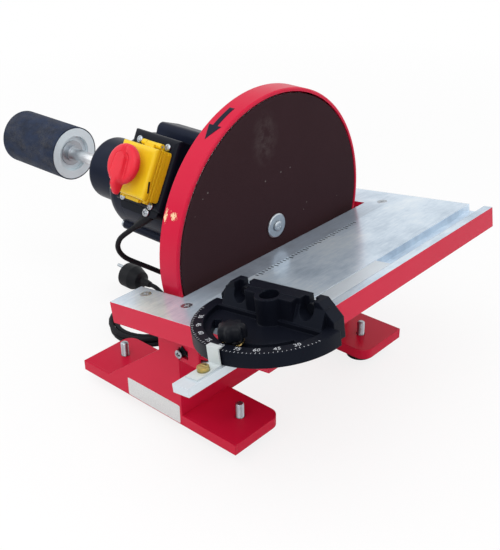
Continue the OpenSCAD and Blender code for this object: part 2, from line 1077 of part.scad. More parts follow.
module switch_box() {
    color("#202226")
        difference() {
            on_flank()
                difference() {
                    union() {
                        translate([0, box_mid_y, box_mid_z])
                            eased_cover(box_in, box_face, box_l, box_h, box_edge_round);
                        flank_sheet(box_in, box_face - base_step)
                            translate([box_mid_y, (box_mid_z + base_bottom) / 2])
                                round_rect(box_l - 2 * base_step, box_mid_z - base_bottom, box_corner_r);
                    }
                    flank_sheet(box_face - module_d, box_face + over)
                        translate([frame_mid_y, frame_mid_z])
                            square([window_w, window_tall], center = true);
                    at_box_screws()
                        translate([0, 0, -over])
                            cylinder(r = box_screw_r + run_gap, h = box_screw_l + over);
                    gland_axis()
                        translate([0, 0, -gland_depth])
                            cylinder(r = gland_r + run_gap, h = gland_l);
                    translate([duct_x, duct_y, base_bottom + gland_depth])
                        cylinder(r = duct_r, h = frame_mid_z - base_bottom - gland_depth);
                }
            rod_y(motor_r + run_gap, box_mid_y - box_l, box_mid_y + box_l);
            at_ribs()
                cylinder(r = rib_r + run_gap, h = housing_back);
        }
}

module box_screws() {
    color("white")
        on_flank()
            at_box_screws() {
                translate([0, 0, -box_screw_head_h])
                    cylinder(r1 = box_screw_r, r2 = box_screw_head_r, h = box_screw_head_h);
                cylinder(r = box_screw_r, h = box_screw_l);
            }
}

module switch_frame() {
    arm_low = frame_mid_z + window_tall / 2 + frame_wall;
    color("gold")
        on_flank()
            difference() {
                union() {
                    flank_sheet(box_face, box_face + frame_t)
                        translate([frame_mid_y, frame_mid_z])
                            difference() {
                                round_rect(frame_w, frame_h, frame_corner_r);
                                square([window_w, window_tall], center = true);
                            }
                    for (sy = [-1, 1])
                        translate([0, frame_mid_y + sy * knuckle_at - knuckle_w / 2, 0]) {
                            translate([hinge_x, 0, hinge_z])
                                rotate([-90, 0, 0])
                                    cylinder(r = hinge_r, h = knuckle_w);
                            translate([hinge_x, 0, arm_low])
                                cube([-box_face - hinge_x, knuckle_w, hinge_z - arm_low]);
                        }
                }
                hinge_bore();
            }
}

// The bore that the lid's hinge pin runs through
module hinge_bore() {
    translate([hinge_x, frame_mid_y - frame_w, hinge_z])
        rotate([-90, 0, 0])
            cylinder(r = hinge_pin_r + run_gap, h = 2 * frame_w);
}

module switch_module() {
    color("#151515")
        on_flank()
            difference() {
                flank_sheet(box_face - module_d, box_face)
                    translate([frame_mid_y, frame_mid_z])
                        square([window_w - 2 * button_gap, window_tall - 2 * button_gap], center = true);
                at_buttons()
                    flank_sheet(box_face - button_t, box_face + over)
                        round_rect(button_w + 2 * button_gap, button_h + 2 * button_gap, button_r);
            }
}

module at_buttons() {
    for (sy = [-1, 1])
        translate([0, frame_mid_y + sy * button_y, frame_mid_z])
            children();
}

module push_button(side) {
    on_flank()
        translate([0, frame_mid_y + side * button_y, frame_mid_z])
            flank_sheet(box_face - button_t + button_gap + button_proud, box_face + button_proud)
                round_rect(button_w, button_h, button_r);
}

module start_button() {
    color("green")
        push_button(-1);
}

module stop_button() {
    color("red")
        push_button(1);
}

module switch_lid() {
    near = box_face + frame_t + lid_gap;
    far = near + lid_d;
    lid_low = frame_mid_z - frame_h / 2;
    color("gold")
        on_flank()
            difference() {
                union() {
                    translate([0, frame_mid_y, frame_mid_z])
                        eased_cover(near, far, frame_w, frame_h, lid_round);
                    flank_sheet(near, near + lip_t)
                        translate([frame_mid_y, lid_low])
                            difference() {
                                square([2 * lip_half, 2 * lip_h], center = true);
                                for (i = [-3 : 3])
                                    translate([i * notch_step, -lip_h])
                                        square([notch_w, lip_h], center = true);
                            }
                    flank_sheet(near, near + 2 * lip_t)
                        translate([frame_mid_y, lid_low])
                            square([latch_w, 2 * latch_h], center = true);
                    translate([hinge_x, frame_mid_y - lid_knuckle_half, hinge_z])
                        rotate([-90, 0, 0])
                            cylinder(r = hinge_r - lid_gap / 2, h = 2 * lid_knuckle_half);
                    translate([-near - link_t, frame_mid_y - lid_knuckle_half,
                               hinge_z - hinge_r + lid_gap / 2])
                        cube([near + link_t + hinge_x, 2 * lid_knuckle_half, hinge_r]);
                    translate([-near - link_t, frame_mid_y - lid_knuckle_half, hinge_z - 2 * hinge_r])
                        cube([link_t, 2 * lid_knuckle_half, 2 * hinge_r]);
                }
                flank_sheet(near - over, far - lid_wall)
                    translate([frame_mid_y, frame_mid_z])
                        round_rect(frame_w - 2 * frame_wall, frame_h - 2 * frame_wall, frame_corner_r / 2);
                for (i = [1, 2])
                    flank_sheet(near + i * groove_step, near + i * groove_step + groove_w)
                        translate([frame_mid_y, frame_mid_z])
                            difference() {
                                square([frame_w + 2 * groove_d, frame_h + 2 * groove_d], center = true);
                                round_rect(frame_w - 2 * groove_d, frame_h - 2 * groove_d, frame_corner_r);
                            }
                translate([0, frame_mid_y, paddle_mid_z])
                    flank_sheet(near, far + over)
                        circle(r = lid_hole_r);
                hinge_bore();
            }
}

module stop_paddle() {
    seat = box_face + frame_t + lid_gap + lid_d + paddle_lift;
    color("red")
        on_flank() {
            translate([-seat, frame_mid_y, paddle_mid_z])
                rotate([0, -90, 0])
                    rotate_extrude()
                        polygon(concat(
                            [[0, -paddle_stem_l], [paddle_stem_r, -paddle_stem_l], [paddle_stem_r, 0],
                             [paddle_r, 0]],
                            [for (a = [0 : 15 : 90])
                                [paddle_r - paddle_round + paddle_round * cos(a),
                                 paddle_head_t - paddle_round + paddle_round * sin(a)]],
                            [[0, paddle_head_t]]
                        ));
            flank_sheet(seat + paddle_head_t, seat + paddle_head_t + paddle_ridge_t)
                translate([frame_mid_y, paddle_mid_z]) {
                    translate([0, paddle_r / 3])
                        circle(r = paddle_ridge_w / 2);
                    translate([0, -paddle_r / 3])
                        square([paddle_ridge_w, 2 * paddle_r - paddle_ridge_w], center = true);
                }
            flank_sheet(seat, seat + paddle_head_t / 2)
                translate([frame_mid_y, paddle_mid_z - paddle_r - paddle_tab_l / 4])
                    square([paddle_tab_w, paddle_tab_l], center = true);
            flank_sheet(box_face + button_proud + presser_gap, seat)
                translate([frame_mid_y + presser_y, frame_mid_z])
                    circle(r = presser_r);
        }
}

module lid_pin() {
    color("silver")
        on_flank()
            translate([hinge_x, frame_mid_y - pin_half, hinge_z])
                rotate([-90, 0, 0])
                    cylinder(r = hinge_pin_r, h = 2 * pin_half);
}

// Cord

module gland_axis() {
    translate([gland_x, gland_y, base_bottom])
        rotate([180 + gland_lean, 0, 0])
            children();
}

module cord_gland() {
    color("#18181a")
        on_flank()
            gland_axis() {
                translate([0, 0, -gland_depth])
                    cylinder(r = gland_r, h = gland_depth + gland_straight_l);
                translate([0, 0, gland_straight_l])
                    cylinder(r1 = gland_r, r2 = gland_tip_r, h = gland_l - gland_straight_l);
            }
}

function unit(v) = v / norm(v);
function tangent(p, i) = unit(p[min(i + 1, len(p) - 1)] - p[max(i - 1, 0)]);
function ring(p, i, r, sides, ref) =
    let (t = tangent(p, i), n = unit(cross(t, ref)), b = cross(n, t))
    [for (k = [0 : sides - 1]) p[i] + r * (cos(360 * k / sides) * n + sin(360 * k / sides) * b)];

// A tube swept along a list of points, with flat ends
module tube(points, r, sides, ref) {
    n = len(points);
    rings = [for (i = [0 : n - 1]) each ring(points, i, r, sides, ref)];
    sides_faces = [
        for (i = [0 : n - 2], k = [0 : sides - 1])
            let (a = i * sides + k, b = i * sides + (k + 1) % sides)
            each [[a, b, b + sides], [a, b + sides, a + sides]]
    ];
    start_face = [for (k = [1 : sides - 2]) [0, k + 1, k]];
    end_face = [for (k = [1 : sides - 2]) (n - 1) * sides * [1, 1, 1] + [0, k, k + 1]];
    polyhedron(points = rings, faces = concat(sides_faces, start_face, end_face), convexity = 6);
}

function climb(t) = let (s = min(max((t - coil_turns / 2 + 0.25) * 2, 0), 1)) s * s * (3 - 2 * s);
function coil_point(t) =
    let (r = coil_r - coil_pitch * min(t, coil_turns - t))
    [coil_mid[0] + r * cos(-360 * t), coil_mid[1] + r * sin(-360 * t), coil_low + coil_lift * climb(t)];
coil_steps = coil_turns * coil_rings;
coil_points = concat(
    [coil_point(0) + [0, cord_d, 0]],
    [for (i = [0 : coil_steps]) coil_point(i / coil_rings)],
    [coil_point(coil_turns) - [0, cord_d, 0]]
);
coil_gap = min([
    for (i = [0 : coil_steps], j = [i + coil_rings / 2 : coil_steps])
        norm(coil_points[i + 1] - coil_points[j + 1])
]) - cord_d;
echo(least_gap_of_the_coil_to_itself = coil_gap);

module cord_run() {
    color("#202022")
        tube(run_points, cord_r, cord_sides, [1, 0.2, 0.3]);
}

module cord_coil() {
    color("#202022")
        tube(coil_points, cord_r, coil_sides, [0, 0, 1]);
}

module cord_tail() {
    color("#202022")
        tube(tail_points, cord_r, cord_sides, [1, 0, 0]);
}

module plug_body() {
    color("#1c1d20")
        translate(plug_at)
            rotate([-90, 0, 0])
                rotate_extrude()
                    polygon([
                        [0, -plug_neck_l], [cord_r + plug_round / 3, -plug_neck_l], [plug_neck_r, 0],
                        [plug_grip_r, plug_round], [plug_r, plug_l / 2], [plug_r, plug_l], [0, plug_l]
                    ]);
}

module plug_pins() {
    color("silver")
        for (s = [-1, 1])
            translate(plug_at + [0, plug_l, s * pin_gap / 2])
                rotate([-90, 0, 0])
                    cylinder(r = pin_r, h = pin_l);
}

// Table

module table_outline() {
    difference() {
        translate([-table_half, table_edge])
            square([2 * table_half, table_back - table_edge]);
        translate([-notch_half, notch_edge])
            square([2 * notch_half, arm_depth + over]);
    }
}

module table_pockets() {
    translate([-table_half + wall_t, table_edge + wall_t])
        square([2 * (table_half - wall_t), table_front - wall_t + over]);
    for (sx = [-1, 1])
        translate([sx * (notch_half + table_half) / 2, (notch_edge + table_back) / 2])
            square([table_half - notch_half - 2 * wall_t, arm_depth - 2 * wall_t], center = true);
    mirrored_pair()
        translate([notch_half - over, notch_edge - wall_t])
            square([table_half - notch_half - wall_t + over, wall_t + pivot_room]);
}

module at_table_screws() {
    for (sx = [-1, 1], y = [screw_front_y, screw_back_y])
        translate([sx * screw_x, y, top_up])
            children();
}

module table() {
    color("gainsboro")
        on_table()
            difference() {
                union() {
                    translate([0, 0, top_up - top_t])
                        linear_extrude(height = top_t)
                            table_outline();
                    color("crimson")
                        translate([0, 0, top_up - skirt_h])
                            linear_extrude(height = skirt_h)
                                difference() {
                                    table_outline();
                                    table_pockets();
                                }
                    translate([-table_half, slot_near - slot_rib_w, top_up - slot_d - slot_floor_t])
                        cube([2 * table_half, slot_w + 2 * slot_rib_w, slot_d + slot_floor_t]);
                    translate([-edge_rib_half, notch_edge - wall_t, top_up - edge_rib_h])
                        cube([2 * edge_rib_half, wall_t, edge_rib_h]);
                }
                translate([-table_half - over, slot_near, top_up - slot_d])
                    cube([2 * (table_half + over), slot_w, slot_d + over]);
                at_table_screws() {
                    translate([0, 0, -skirt_h])
                        cylinder(r = csk_hole_r + hole_gap, h = skirt_h + over);
                    translate([0, 0, -csk_h - hole_gap])
                        cylinder(r1 = csk_hole_r + hole_gap, r2 = csk_r + 3 * hole_gap,
                                 h = csk_h + 2 * hole_gap);
                }
            }
}

module table_screws() {
    color("silver")
        on_table()
            at_table_screws() {
                translate([0, 0, -csk_h - hole_gap])
                    cylinder(r1 = csk_hole_r, r2 = csk_r, h = csk_h);
                translate([0, 0, -top_t - flange_t])
                    cylinder(r = csk_hole_r, h = top_t + flange_t - csk_h);
            }
}

module ear_outline() {
    rim_turn = atan((lock_r + lock_rim) / lock_arc_r);
    low = lock_angle - tilt_down - rim_turn;
    high = lock_angle + rest_tilt + rim_turn;
    outer = lock_arc_r + lock_rim;
    polygon(concat(
        [[-flange_front, top_up - top_t], [-flange_front, top_up - top_t - flange_t]],
        [for (k = [0 : 8]) outer * swing(low + (high - low) * k / 8)],
        [[ear_waist, -ear_waist], [ear_boss_r, 0], [ear_boss_r, top_up - top_t - lock_rim],
         [notch_edge - wall_t / 2, top_up - top_t]]
    ));
}

// Direction in the ear's plane at an angle from straight down
function swing(a) = [sin(a), -cos(a)];

// Slot that the lock screw runs in: an arc about the pivot with round ends
module lock_slot() {
    slack_turn = atan(2 * hole_gap / lock_arc_r);
    low = lock_angle - tilt_down - slack_turn;
    high = lock_angle + rest_tilt + slack_turn;
    slot_r = lock_r + hole_gap;
    translate([ear_in - over, 0, 0])
        rotate([90, 0, 90])
            linear_extrude(height = ear_t + 2 * over)
                polygon(concat(
                    [for (k = [0 : 16]) (lock_arc_r + slot_r) * swing(low + (high - low) * k / 16)],
                    [for (b = [15 : 15 : 165]) lock_arc_r * swing(high) + slot_r * swing(high + b)],
                    [for (k = [0 : 16]) (lock_arc_r - slot_r) * swing(high + (low - high) * k / 16)],
                    [for (b = [195 : 15 : 345]) lock_arc_r * swing(low) + slot_r * swing(low + b)]
                ));
}

module trunnion() {
    on_table()
        difference() {
            union() {
                side_sheet(ear_in, ear_out)
                    ear_outline();
                translate([0, 0, top_up - top_t - flange_t])
                    linear_extrude(height = flange_t)
                        polygon([
                            [ear_in, -flange_front], [flange_end, -flange_front], [flange_end, strip_back],
                            [strip_in, strip_back], [strip_in, notch_edge - wall_t],
                            [ear_in, notch_edge - wall_t]
                        ]);
            }
            rod_x(pivot_r + run_gap, ear_in - over, ear_out + over, 0, 0);
            lock_slot();
            at_table_screws()
                translate([0, 0, -skirt_h])
                    cylinder(r = csk_hole_r + run_gap, h = skirt_h);
        }
}

module left_trunnion() {
    color("#3a3c40")
        mirror([1, 0, 0])
            trunnion();
}

module right_trunnion() {
    color("#3a3c40")
        trunnion();
}

module pivot_bolts() {
    color("silver")
        mirrored_pair() {
            rod_x(pivot_r, ear_in - pivot_nut_h - slide_gap, side_out, pivot_y, pivot_z);
            rod_x(bolt_head_r, side_out, side_out + bolt_head_h, pivot_y, pivot_z);
        }
}

module pivot_nuts() {
    color("silver")
        mirrored_pair()
            difference() {
                translate([ear_in - pivot_nut_h - slide_gap, pivot_y, pivot_z])
                    rotate([0, 90, 0])
                        hex_rod(bolt_head_r, pivot_nut_h);
                rod_x(pivot_r + run_gap, ear_in - 2 * pivot_nut_h, ear_in, pivot_y, pivot_z);
            }
}

module lock_screws() {
    color("silver")
        mirrored_pair() {
            translate([side_out, lock_y, lock_z])
                rotate([washer_bar_turn, 0, 0])
                    translate([0, -washer_bar_w / 2, -washer_bar_l / 2])
                        cube([washer_bar_t, washer_bar_w, washer_bar_l]);
            rod_x(lock_head_r, side_out + washer_bar_t, side_out + washer_bar_t + lock_head_h,
                  lock_y, lock_z);
            rod_x(lock_r, ear_in - pivot_nut_h - slide_gap, side_out + washer_bar_t, lock_y, lock_z);
            translate([ear_in - pivot_nut_h - slide_gap, lock_y, lock_z])
                rotate([0, 90, 0])
                    hex_rod(lock_head_r, pivot_nut_h);
        }
}

// Miter gauge

module miter_bar() {
    color("gainsboro")
        on_gauge()
            difference() {
                translate([-bar_out, -bar_w / 2, -bar_t])
                    cube([bar_l, bar_w, bar_t]);
                translate([0, 0, -bar_t - over])
                    cylinder(r = head_pivot_r + run_gap, h = bar_t + 2 * over);
                translate([-knob_arc_r, 0, -bar_t - over])
                    cylinder(r = knob_stud_r + run_gap, h = bar_t + 2 * over);
                translate([-head_r - pointer_foot / 2 - pointer_gap, 0, -bar_t - over])
                    cylinder(r = pointer_thread_r + run_gap, h = bar_t + 2 * over);
            }
}

module sector(r, swing, h) {
    rotate([0, 0, 180 - swing])
        rotate_extrude(angle = 2 * swing, $fn = 128)
            square([r, h]);
}

module fence_outline() {
    difference() {
        polygon([
            [-fence_half, 0], [fence_half, 0], [fence_half, fence_end_h],
            [fence_half - fence_chamfer, fence_h], [fence_chamfer - fence_half, fence_h],
            [-fence_half, fence_end_h]
        ]);
        for (sy = [-1, 1])
            translate([sy * ear_slit_y - ear_slit_w / 2, fence_h - ear_slit_d])
                square([ear_slit_w, ear_slit_d + over]);
    }
}

module miter_head() {
    wall = fence_face - fence_t;
    color("#191a1d")
        on_gauge()
            translate([0, 0, head_lift])
                difference() {
                    union() {
                        sector(head_r, 90, head_t);
                        side_sheet(wall, fence_face)
                            fence_outline();
                        translate([0, -head_r, 0])
                            cube([wall, 2 * head_r, head_t]);
                        translate([0, wall_foot_half, 0])
                            rotate([90, 0, 0])
                                linear_extrude(height = 2 * wall_foot_half)
                                    polygon([
                                        [-wall_foot_out, 0], [wall + fence_t / 2, 0],
                                        [wall + fence_t / 2, wall_foot_h], [wall, wall_foot_h],
                                        [-wall_foot_out, head_t - recess_depth]
                                    ]);
                        cylinder(r = boss_r, h = fence_h - boss_drop);
                        translate([-block_out, -block_half, 0])
                            cube([block_out + wall + fence_t / 2, 2 * block_half, fence_h - boss_drop]);
                    }
                    translate([0, 0, -over])
                        cylinder(r = head_pivot_r + run_gap, h = fence_h + 2 * over);
                    translate([0, 0, head_floor])
                        cylinder(r = access_r, h = fence_h);
                    difference() {
                        translate([0, 0, head_t - recess_depth])
                            sector(recess_out, 90, head_t);
                        translate([-wall_foot_out, -head_r, 0])
                            cube([head_r, 2 * head_r, fence_h]);
                        cylinder(r = boss_r, h = fence_h);
                    }
                    translate([0, 0, -over])
                        difference() {
                            sector(knob_arc_r + knob_slot_r, head_swing + knob_slot_over, head_t);
                            translate([0, 0, -over])
                                cylinder(r = knob_arc_r - knob_slot_r, h = head_t + 2 * over);
                        }
                    for (sy = [-1, 1]) {
                        rod_x(fence_screw_r + hole_gap, -over, fence_face + over,
                              sy * ear_slit_y, fence_screw_z);
                        side_sheet(-head_r, wall + fence_pocket_d)
                            translate([sy * ear_slit_y, fence_screw_z]) {
                                circle(r = fence_pocket_r);
                                translate([-fence_pocket_r, 0])
                                    square([2 * fence_pocket_r, fence_h]);
                            }
                    }
                }
}

module lock_knob() {
    base = head_lift + head_t - recess_depth + head_lift;
    color("#141416")
        on_gauge()
            translate([-knob_arc_r, 0, 0]) {
                translate([0, 0, -bar_t])
                    cylinder(r = knob_stud_r, h = bar_t + base);
                translate([0, 0, base])
                    cylinder(r = knob_collar_r, h = knob_collar_h);
                translate([0, 0, base + knob_collar_h])
                    linear_extrude(height = knob_h - knob_collar_h) {
                        circle(r = knob_r - knob_lobe_r / 2);
                        for (i = [0 : knob_lobes - 1])
                            rotate(i * 360 / knob_lobes)
                                translate([knob_r - knob_lobe_r, 0])
                                    circle(r = knob_lobe_r);
                    }
            }
}

module pointer_bracket() {
    wall = -head_r - pointer_gap;
    color("silver")
        on_gauge()
            difference() {
                union() {
                    translate([wall - pointer_foot, -pointer_w / 2, 0])
                        cube([pointer_foot, pointer_w, pointer_t]);
                    translate([wall - pointer_t, -pointer_w / 2, 0])
                        cube([pointer_t, pointer_w, pointer_rise]);
                    translate([wall - pointer_t, -pointer_w / 2, pointer_rise - pointer_t])
                        cube([pointer_tip + pointer_t, pointer_w, pointer_t]);
                }
                translate([wall - pointer_foot / 2, 0, -over])
                    cylinder(r = pointer_thread_r + run_gap, h = pointer_t + 2 * over);
            }
}

module gauge_screws() {
    on_gauge() {
        color("goldenrod")
            translate([-head_r - pointer_gap - pointer_foot / 2, 0, 0]) {
                translate([0, 0, pointer_t])
                    cylinder(r = pointer_screw_r, h = pointer_screw_h);
                translate([0, 0, -bar_t])
                    cylinder(r = pointer_thread_r, h = bar_t + pointer_t);
            }
        color("silver") {
            translate([0, 0, -bar_t])
                cylinder(r = head_pivot_r, h = bar_t + head_lift + head_floor + head_lift);
            translate([0, 0, head_lift + head_floor + head_lift])
                cylinder(r = head_pivot_head_r, h = head_pivot_head_h);
        }
    }
}

module fence_screws() {
    color("silver")
        on_gauge()
            translate([0, 0, head_lift])
                for (sy = [-1, 1]) {
                    seat = fence_face - fence_t + fence_pocket_d;
                    rod_x(fence_screw_r, seat, fence_face, sy * ear_slit_y, fence_screw_z);
                    rod_x(fence_screw_head_r, seat - fence_screw_head_h, seat,
                          sy * ear_slit_y, fence_screw_z);
                }
}

left_side_plate();
right_side_plate();
left_foot_plate();
right_foot_plate();
front_cross_plate();
rear_bulkhead();
rubber_feet();
foot_studs();
foot_nuts();
disc_guard();
guard_bolts();
flange_bolts();
front_bell();
motor_housing();
rear_bell();
fan_cover();
tie_bolts();
stator_core();
stator_windings();
shaft_bearings();
capacitor_cover();
switch_box();
box_screws();
switch_frame();
switch_module();
switch_lid();
stop_paddle();
start_button();
stop_button();
lid_pin();
cord_gland();
cord_run();
cord_coil();
cord_tail();
plug_body();
plug_pins();
motor_shaft();
rotor_core();
cooling_fan();
disc_plate();
abrasive_disc();
disc_washer();
disc_screw();
drum_core();
drum_sleeve();
drum_washers();
drum_nut();
table();
left_trunnion();
right_trunnion();
table_screws();
pivot_bolts();
pivot_nuts();
lock_screws();
miter_bar();
miter_head();
lock_knob();
pointer_bracket();
gauge_screws();
fence_screws();
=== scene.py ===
import json
import math
import bmesh
import bpy
import numpy as np
from mathutils import Matrix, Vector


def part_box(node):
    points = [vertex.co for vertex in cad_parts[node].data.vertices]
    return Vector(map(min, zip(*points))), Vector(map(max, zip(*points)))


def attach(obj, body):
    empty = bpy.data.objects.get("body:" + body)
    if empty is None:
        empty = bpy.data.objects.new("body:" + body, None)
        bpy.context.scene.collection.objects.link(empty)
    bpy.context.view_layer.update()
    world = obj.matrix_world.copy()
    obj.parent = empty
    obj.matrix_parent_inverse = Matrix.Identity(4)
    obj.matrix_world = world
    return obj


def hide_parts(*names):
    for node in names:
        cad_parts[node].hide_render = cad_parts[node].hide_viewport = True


# Bench disc sander: finishes, cord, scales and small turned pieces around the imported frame

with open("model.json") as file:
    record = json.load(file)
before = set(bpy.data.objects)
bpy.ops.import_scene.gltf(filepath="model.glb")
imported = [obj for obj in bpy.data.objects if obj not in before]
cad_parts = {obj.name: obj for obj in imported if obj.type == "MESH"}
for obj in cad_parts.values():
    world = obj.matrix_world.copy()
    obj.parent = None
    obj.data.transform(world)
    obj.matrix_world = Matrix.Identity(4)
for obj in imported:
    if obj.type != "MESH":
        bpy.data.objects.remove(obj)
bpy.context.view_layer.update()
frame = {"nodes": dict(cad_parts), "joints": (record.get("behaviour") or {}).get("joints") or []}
nodes = frame["nodes"]
joints = {joint["name"]: joint for joint in frame["joints"]}
scene = bpy.context.scene
mm = 0.001
print("frame loaded:", len(nodes), "nodes")


# Places that the frame gives

def axesFrom(x, z):
    # three rows: across, along and up, for a right-handed local frame
    x, z = np.array(x, float), np.array(z, float)
    return np.stack([x, np.cross(z, x), z])


spindle = np.array(joints["spindle_spin"]["pos_m"], float)
gaugeAt = np.array(joints["miter_swivel"]["pos_m"], float)
pointerSide = float(gaugeAt[0] - 0.07)  # the gauge's screw left of this is the pointer's
knobAt = np.array(joints["miter_knob_turn"]["pos_m"], float)
tableAxes = axesFrom((1, 0, 0), joints["miter_swivel"]["axis"])
inward = np.array(joints["paddle_push"]["axis"], float)
flankAxes = np.stack([np.array((0.0, -1, 0)), np.cross(inward, (0.0, 1, 0)), -inward])
upAxes = np.eye(3)


def place(points, origin, axes):
    # local points in metres, carried into the row frame
    return np.asarray(origin) + np.asarray(points) @ np.asarray(axes)


# Meshes from grids of points

mergeWithin = 2e-6  # metres: nearer points become one
thinWithin = 1e-7  # metres: shorter edges are dissolved


def linked(name, mesh, material, smooth):
    # the mesh in an object of its own, with its shading and finish
    mesh.polygons.foreach_set("use_smooth", np.full(len(mesh.polygons), smooth))
    piece = bpy.data.objects.new(name, mesh)
    scene.collection.objects.link(piece)
    mesh.materials.append(material)
    return piece


def meshPiece(name, points, faces, material, smooth=True):
    # points and faces as a piece, with doubles merged and faces turned outwards
    mesh = bpy.data.meshes.new(name)
    mesh.from_pydata([tuple(p) for p in np.asarray(points).tolist()], [], np.asarray(faces).tolist())
    work = bmesh.new()
    work.from_mesh(mesh)
    bmesh.ops.remove_doubles(work, verts=work.verts, dist=mergeWithin)
    bmesh.ops.dissolve_degenerate(work, edges=work.edges, dist=thinWithin)
    bmesh.ops.recalc_face_normals(work, faces=work.faces)
    work.to_mesh(mesh)
    work.free()
    return linked(name, mesh, material, smooth)


def surface(name, grid, wrap, material, smooth=True):
    # grid is rows x columns x 3; wrap joins the last column to the first; equal points at poles are merged
    rows, cols = grid.shape[:2]
    index = np.arange(rows * cols).reshape(rows, cols)
    if wrap:
        index = np.concatenate([index, index[:, :1]], axis=1)
    corners = [index[:-1, :-1], index[:-1, 1:], index[1:, 1:], index[1:, :-1]]
    return meshPiece(name, grid.reshape(-1, 3), np.stack(corners, axis=-1).reshape(-1, 4), material, smooth)


def meshPoints(mesh):
    # all vertices of a mesh as rows
    flat = np.zeros(len(mesh.vertices) * 3)
    mesh.vertices.foreach_get("co", flat)
    return flat.reshape(-1, 3)


def joined(name, pieces):
    # several meshes made one piece
    points, faces, start = [], [], 0
    for piece in pieces:
        points.append(meshPoints(piece.data))
        faces += [[start + i for i in face.vertices] for face in piece.data.polygons]
        start += len(piece.data.vertices)
    material = pieces[0].data.materials[0]
    smooth = pieces[0].data.polygons[0].use_smooth
    for piece in pieces:
        bpy.data.objects.remove(piece)
    mesh = bpy.data.meshes.new(name)
    mesh.from_pydata(np.concatenate(points).tolist(), [], faces)
    return linked(name, mesh, material, smooth)


def around(turns):
    # one row of angles round a full turn
    return np.linspace(0, 2 * np.pi, turns, endpoint=False)[None, :]


def polarGrid(radius, height, turns):
    # rows of radius and height against angle: x = r cos a, y = r sin a, z = h
    angle = around(turns)
    radius = np.broadcast_to(radius, np.broadcast_shapes(np.shape(radius), angle.shape))
    height = np.broadcast_to(height, radius.shape)
    return np.stack([radius * np.cos(angle), radius * np.sin(angle), height], axis=-1)


def smoothStep(x):
    # 0 below 0, 1 above 1, and 3x^2 - 2x^3 between
    x = np.clip(x, 0, 1)
    return x * x * (3 - 2 * x)


# Shader expressions

class Wire:
    # a socket that takes part in Python sums

    def __init__(self, tree, socket):
        self.tree, self.socket = tree, socket

    def maths(self, operation, other=None, swap=False, clamp=False):
        values = [other, self] if swap else [self, other]
        inputs = {i: value for i, value in enumerate(values) if value is not None}
        return self.tree.add("ShaderNodeMath", {"operation": operation, "use_clamp": clamp}, inputs)

    def clamped(self):
        # kept between 0 and 1
        return self.maths("MAXIMUM", 0.0, clamp=True)

    def __add__(self, other):
        return self.maths("ADD", other)

    __radd__ = __add__

    def __sub__(self, other):
        return self.maths("SUBTRACT", other)

    def __rsub__(self, other):
        return self.maths("SUBTRACT", other, swap=True)

    def __mul__(self, other):
        return self.maths("MULTIPLY", other)

    __rmul__ = __mul__

    def __truediv__(self, other):
        return self.maths("DIVIDE", other)

    def __gt__(self, other):
        return self.maths("GREATER_THAN", other)

    def __lt__(self, other):
        return self.maths("LESS_THAN", other)


def rgba(value):
    # a colour of three numbers gets its fourth, anything else stays
    return value + (1,) if isinstance(value, tuple) and len(value) == 3 else value


def darker(colour, share):
    # the same colour with a share of its light
    return tuple(c * share for c in colour)


class NodeTree:
    # nodes of a material or a world, all added in one way

    def __init__(self, tree):
        self.tree = tree

    def add(self, kind, settings, inputs, output=0):
        node = self.tree.nodes.new(kind)
        for key, value in settings.items():
            if key == "stops":
                self.fillRamp(node.color_ramp, value)
            else:
                setattr(node, key, value)
        for key, value in inputs.items():
            self.link(node.inputs[key], value)
        return Wire(self, node.outputs[output])

    def link(self, socket, value):
        if isinstance(value, Wire):
            self.tree.links.new(value.socket, socket)
        else:
            socket.default_value = value

    def fillRamp(self, ramp, stops):
        while len(ramp.elements) < len(stops):
            ramp.elements.new(0.5)
        for element, (at, colour) in zip(ramp.elements, stops):
            element.position = at
            element.color = rgba(colour)


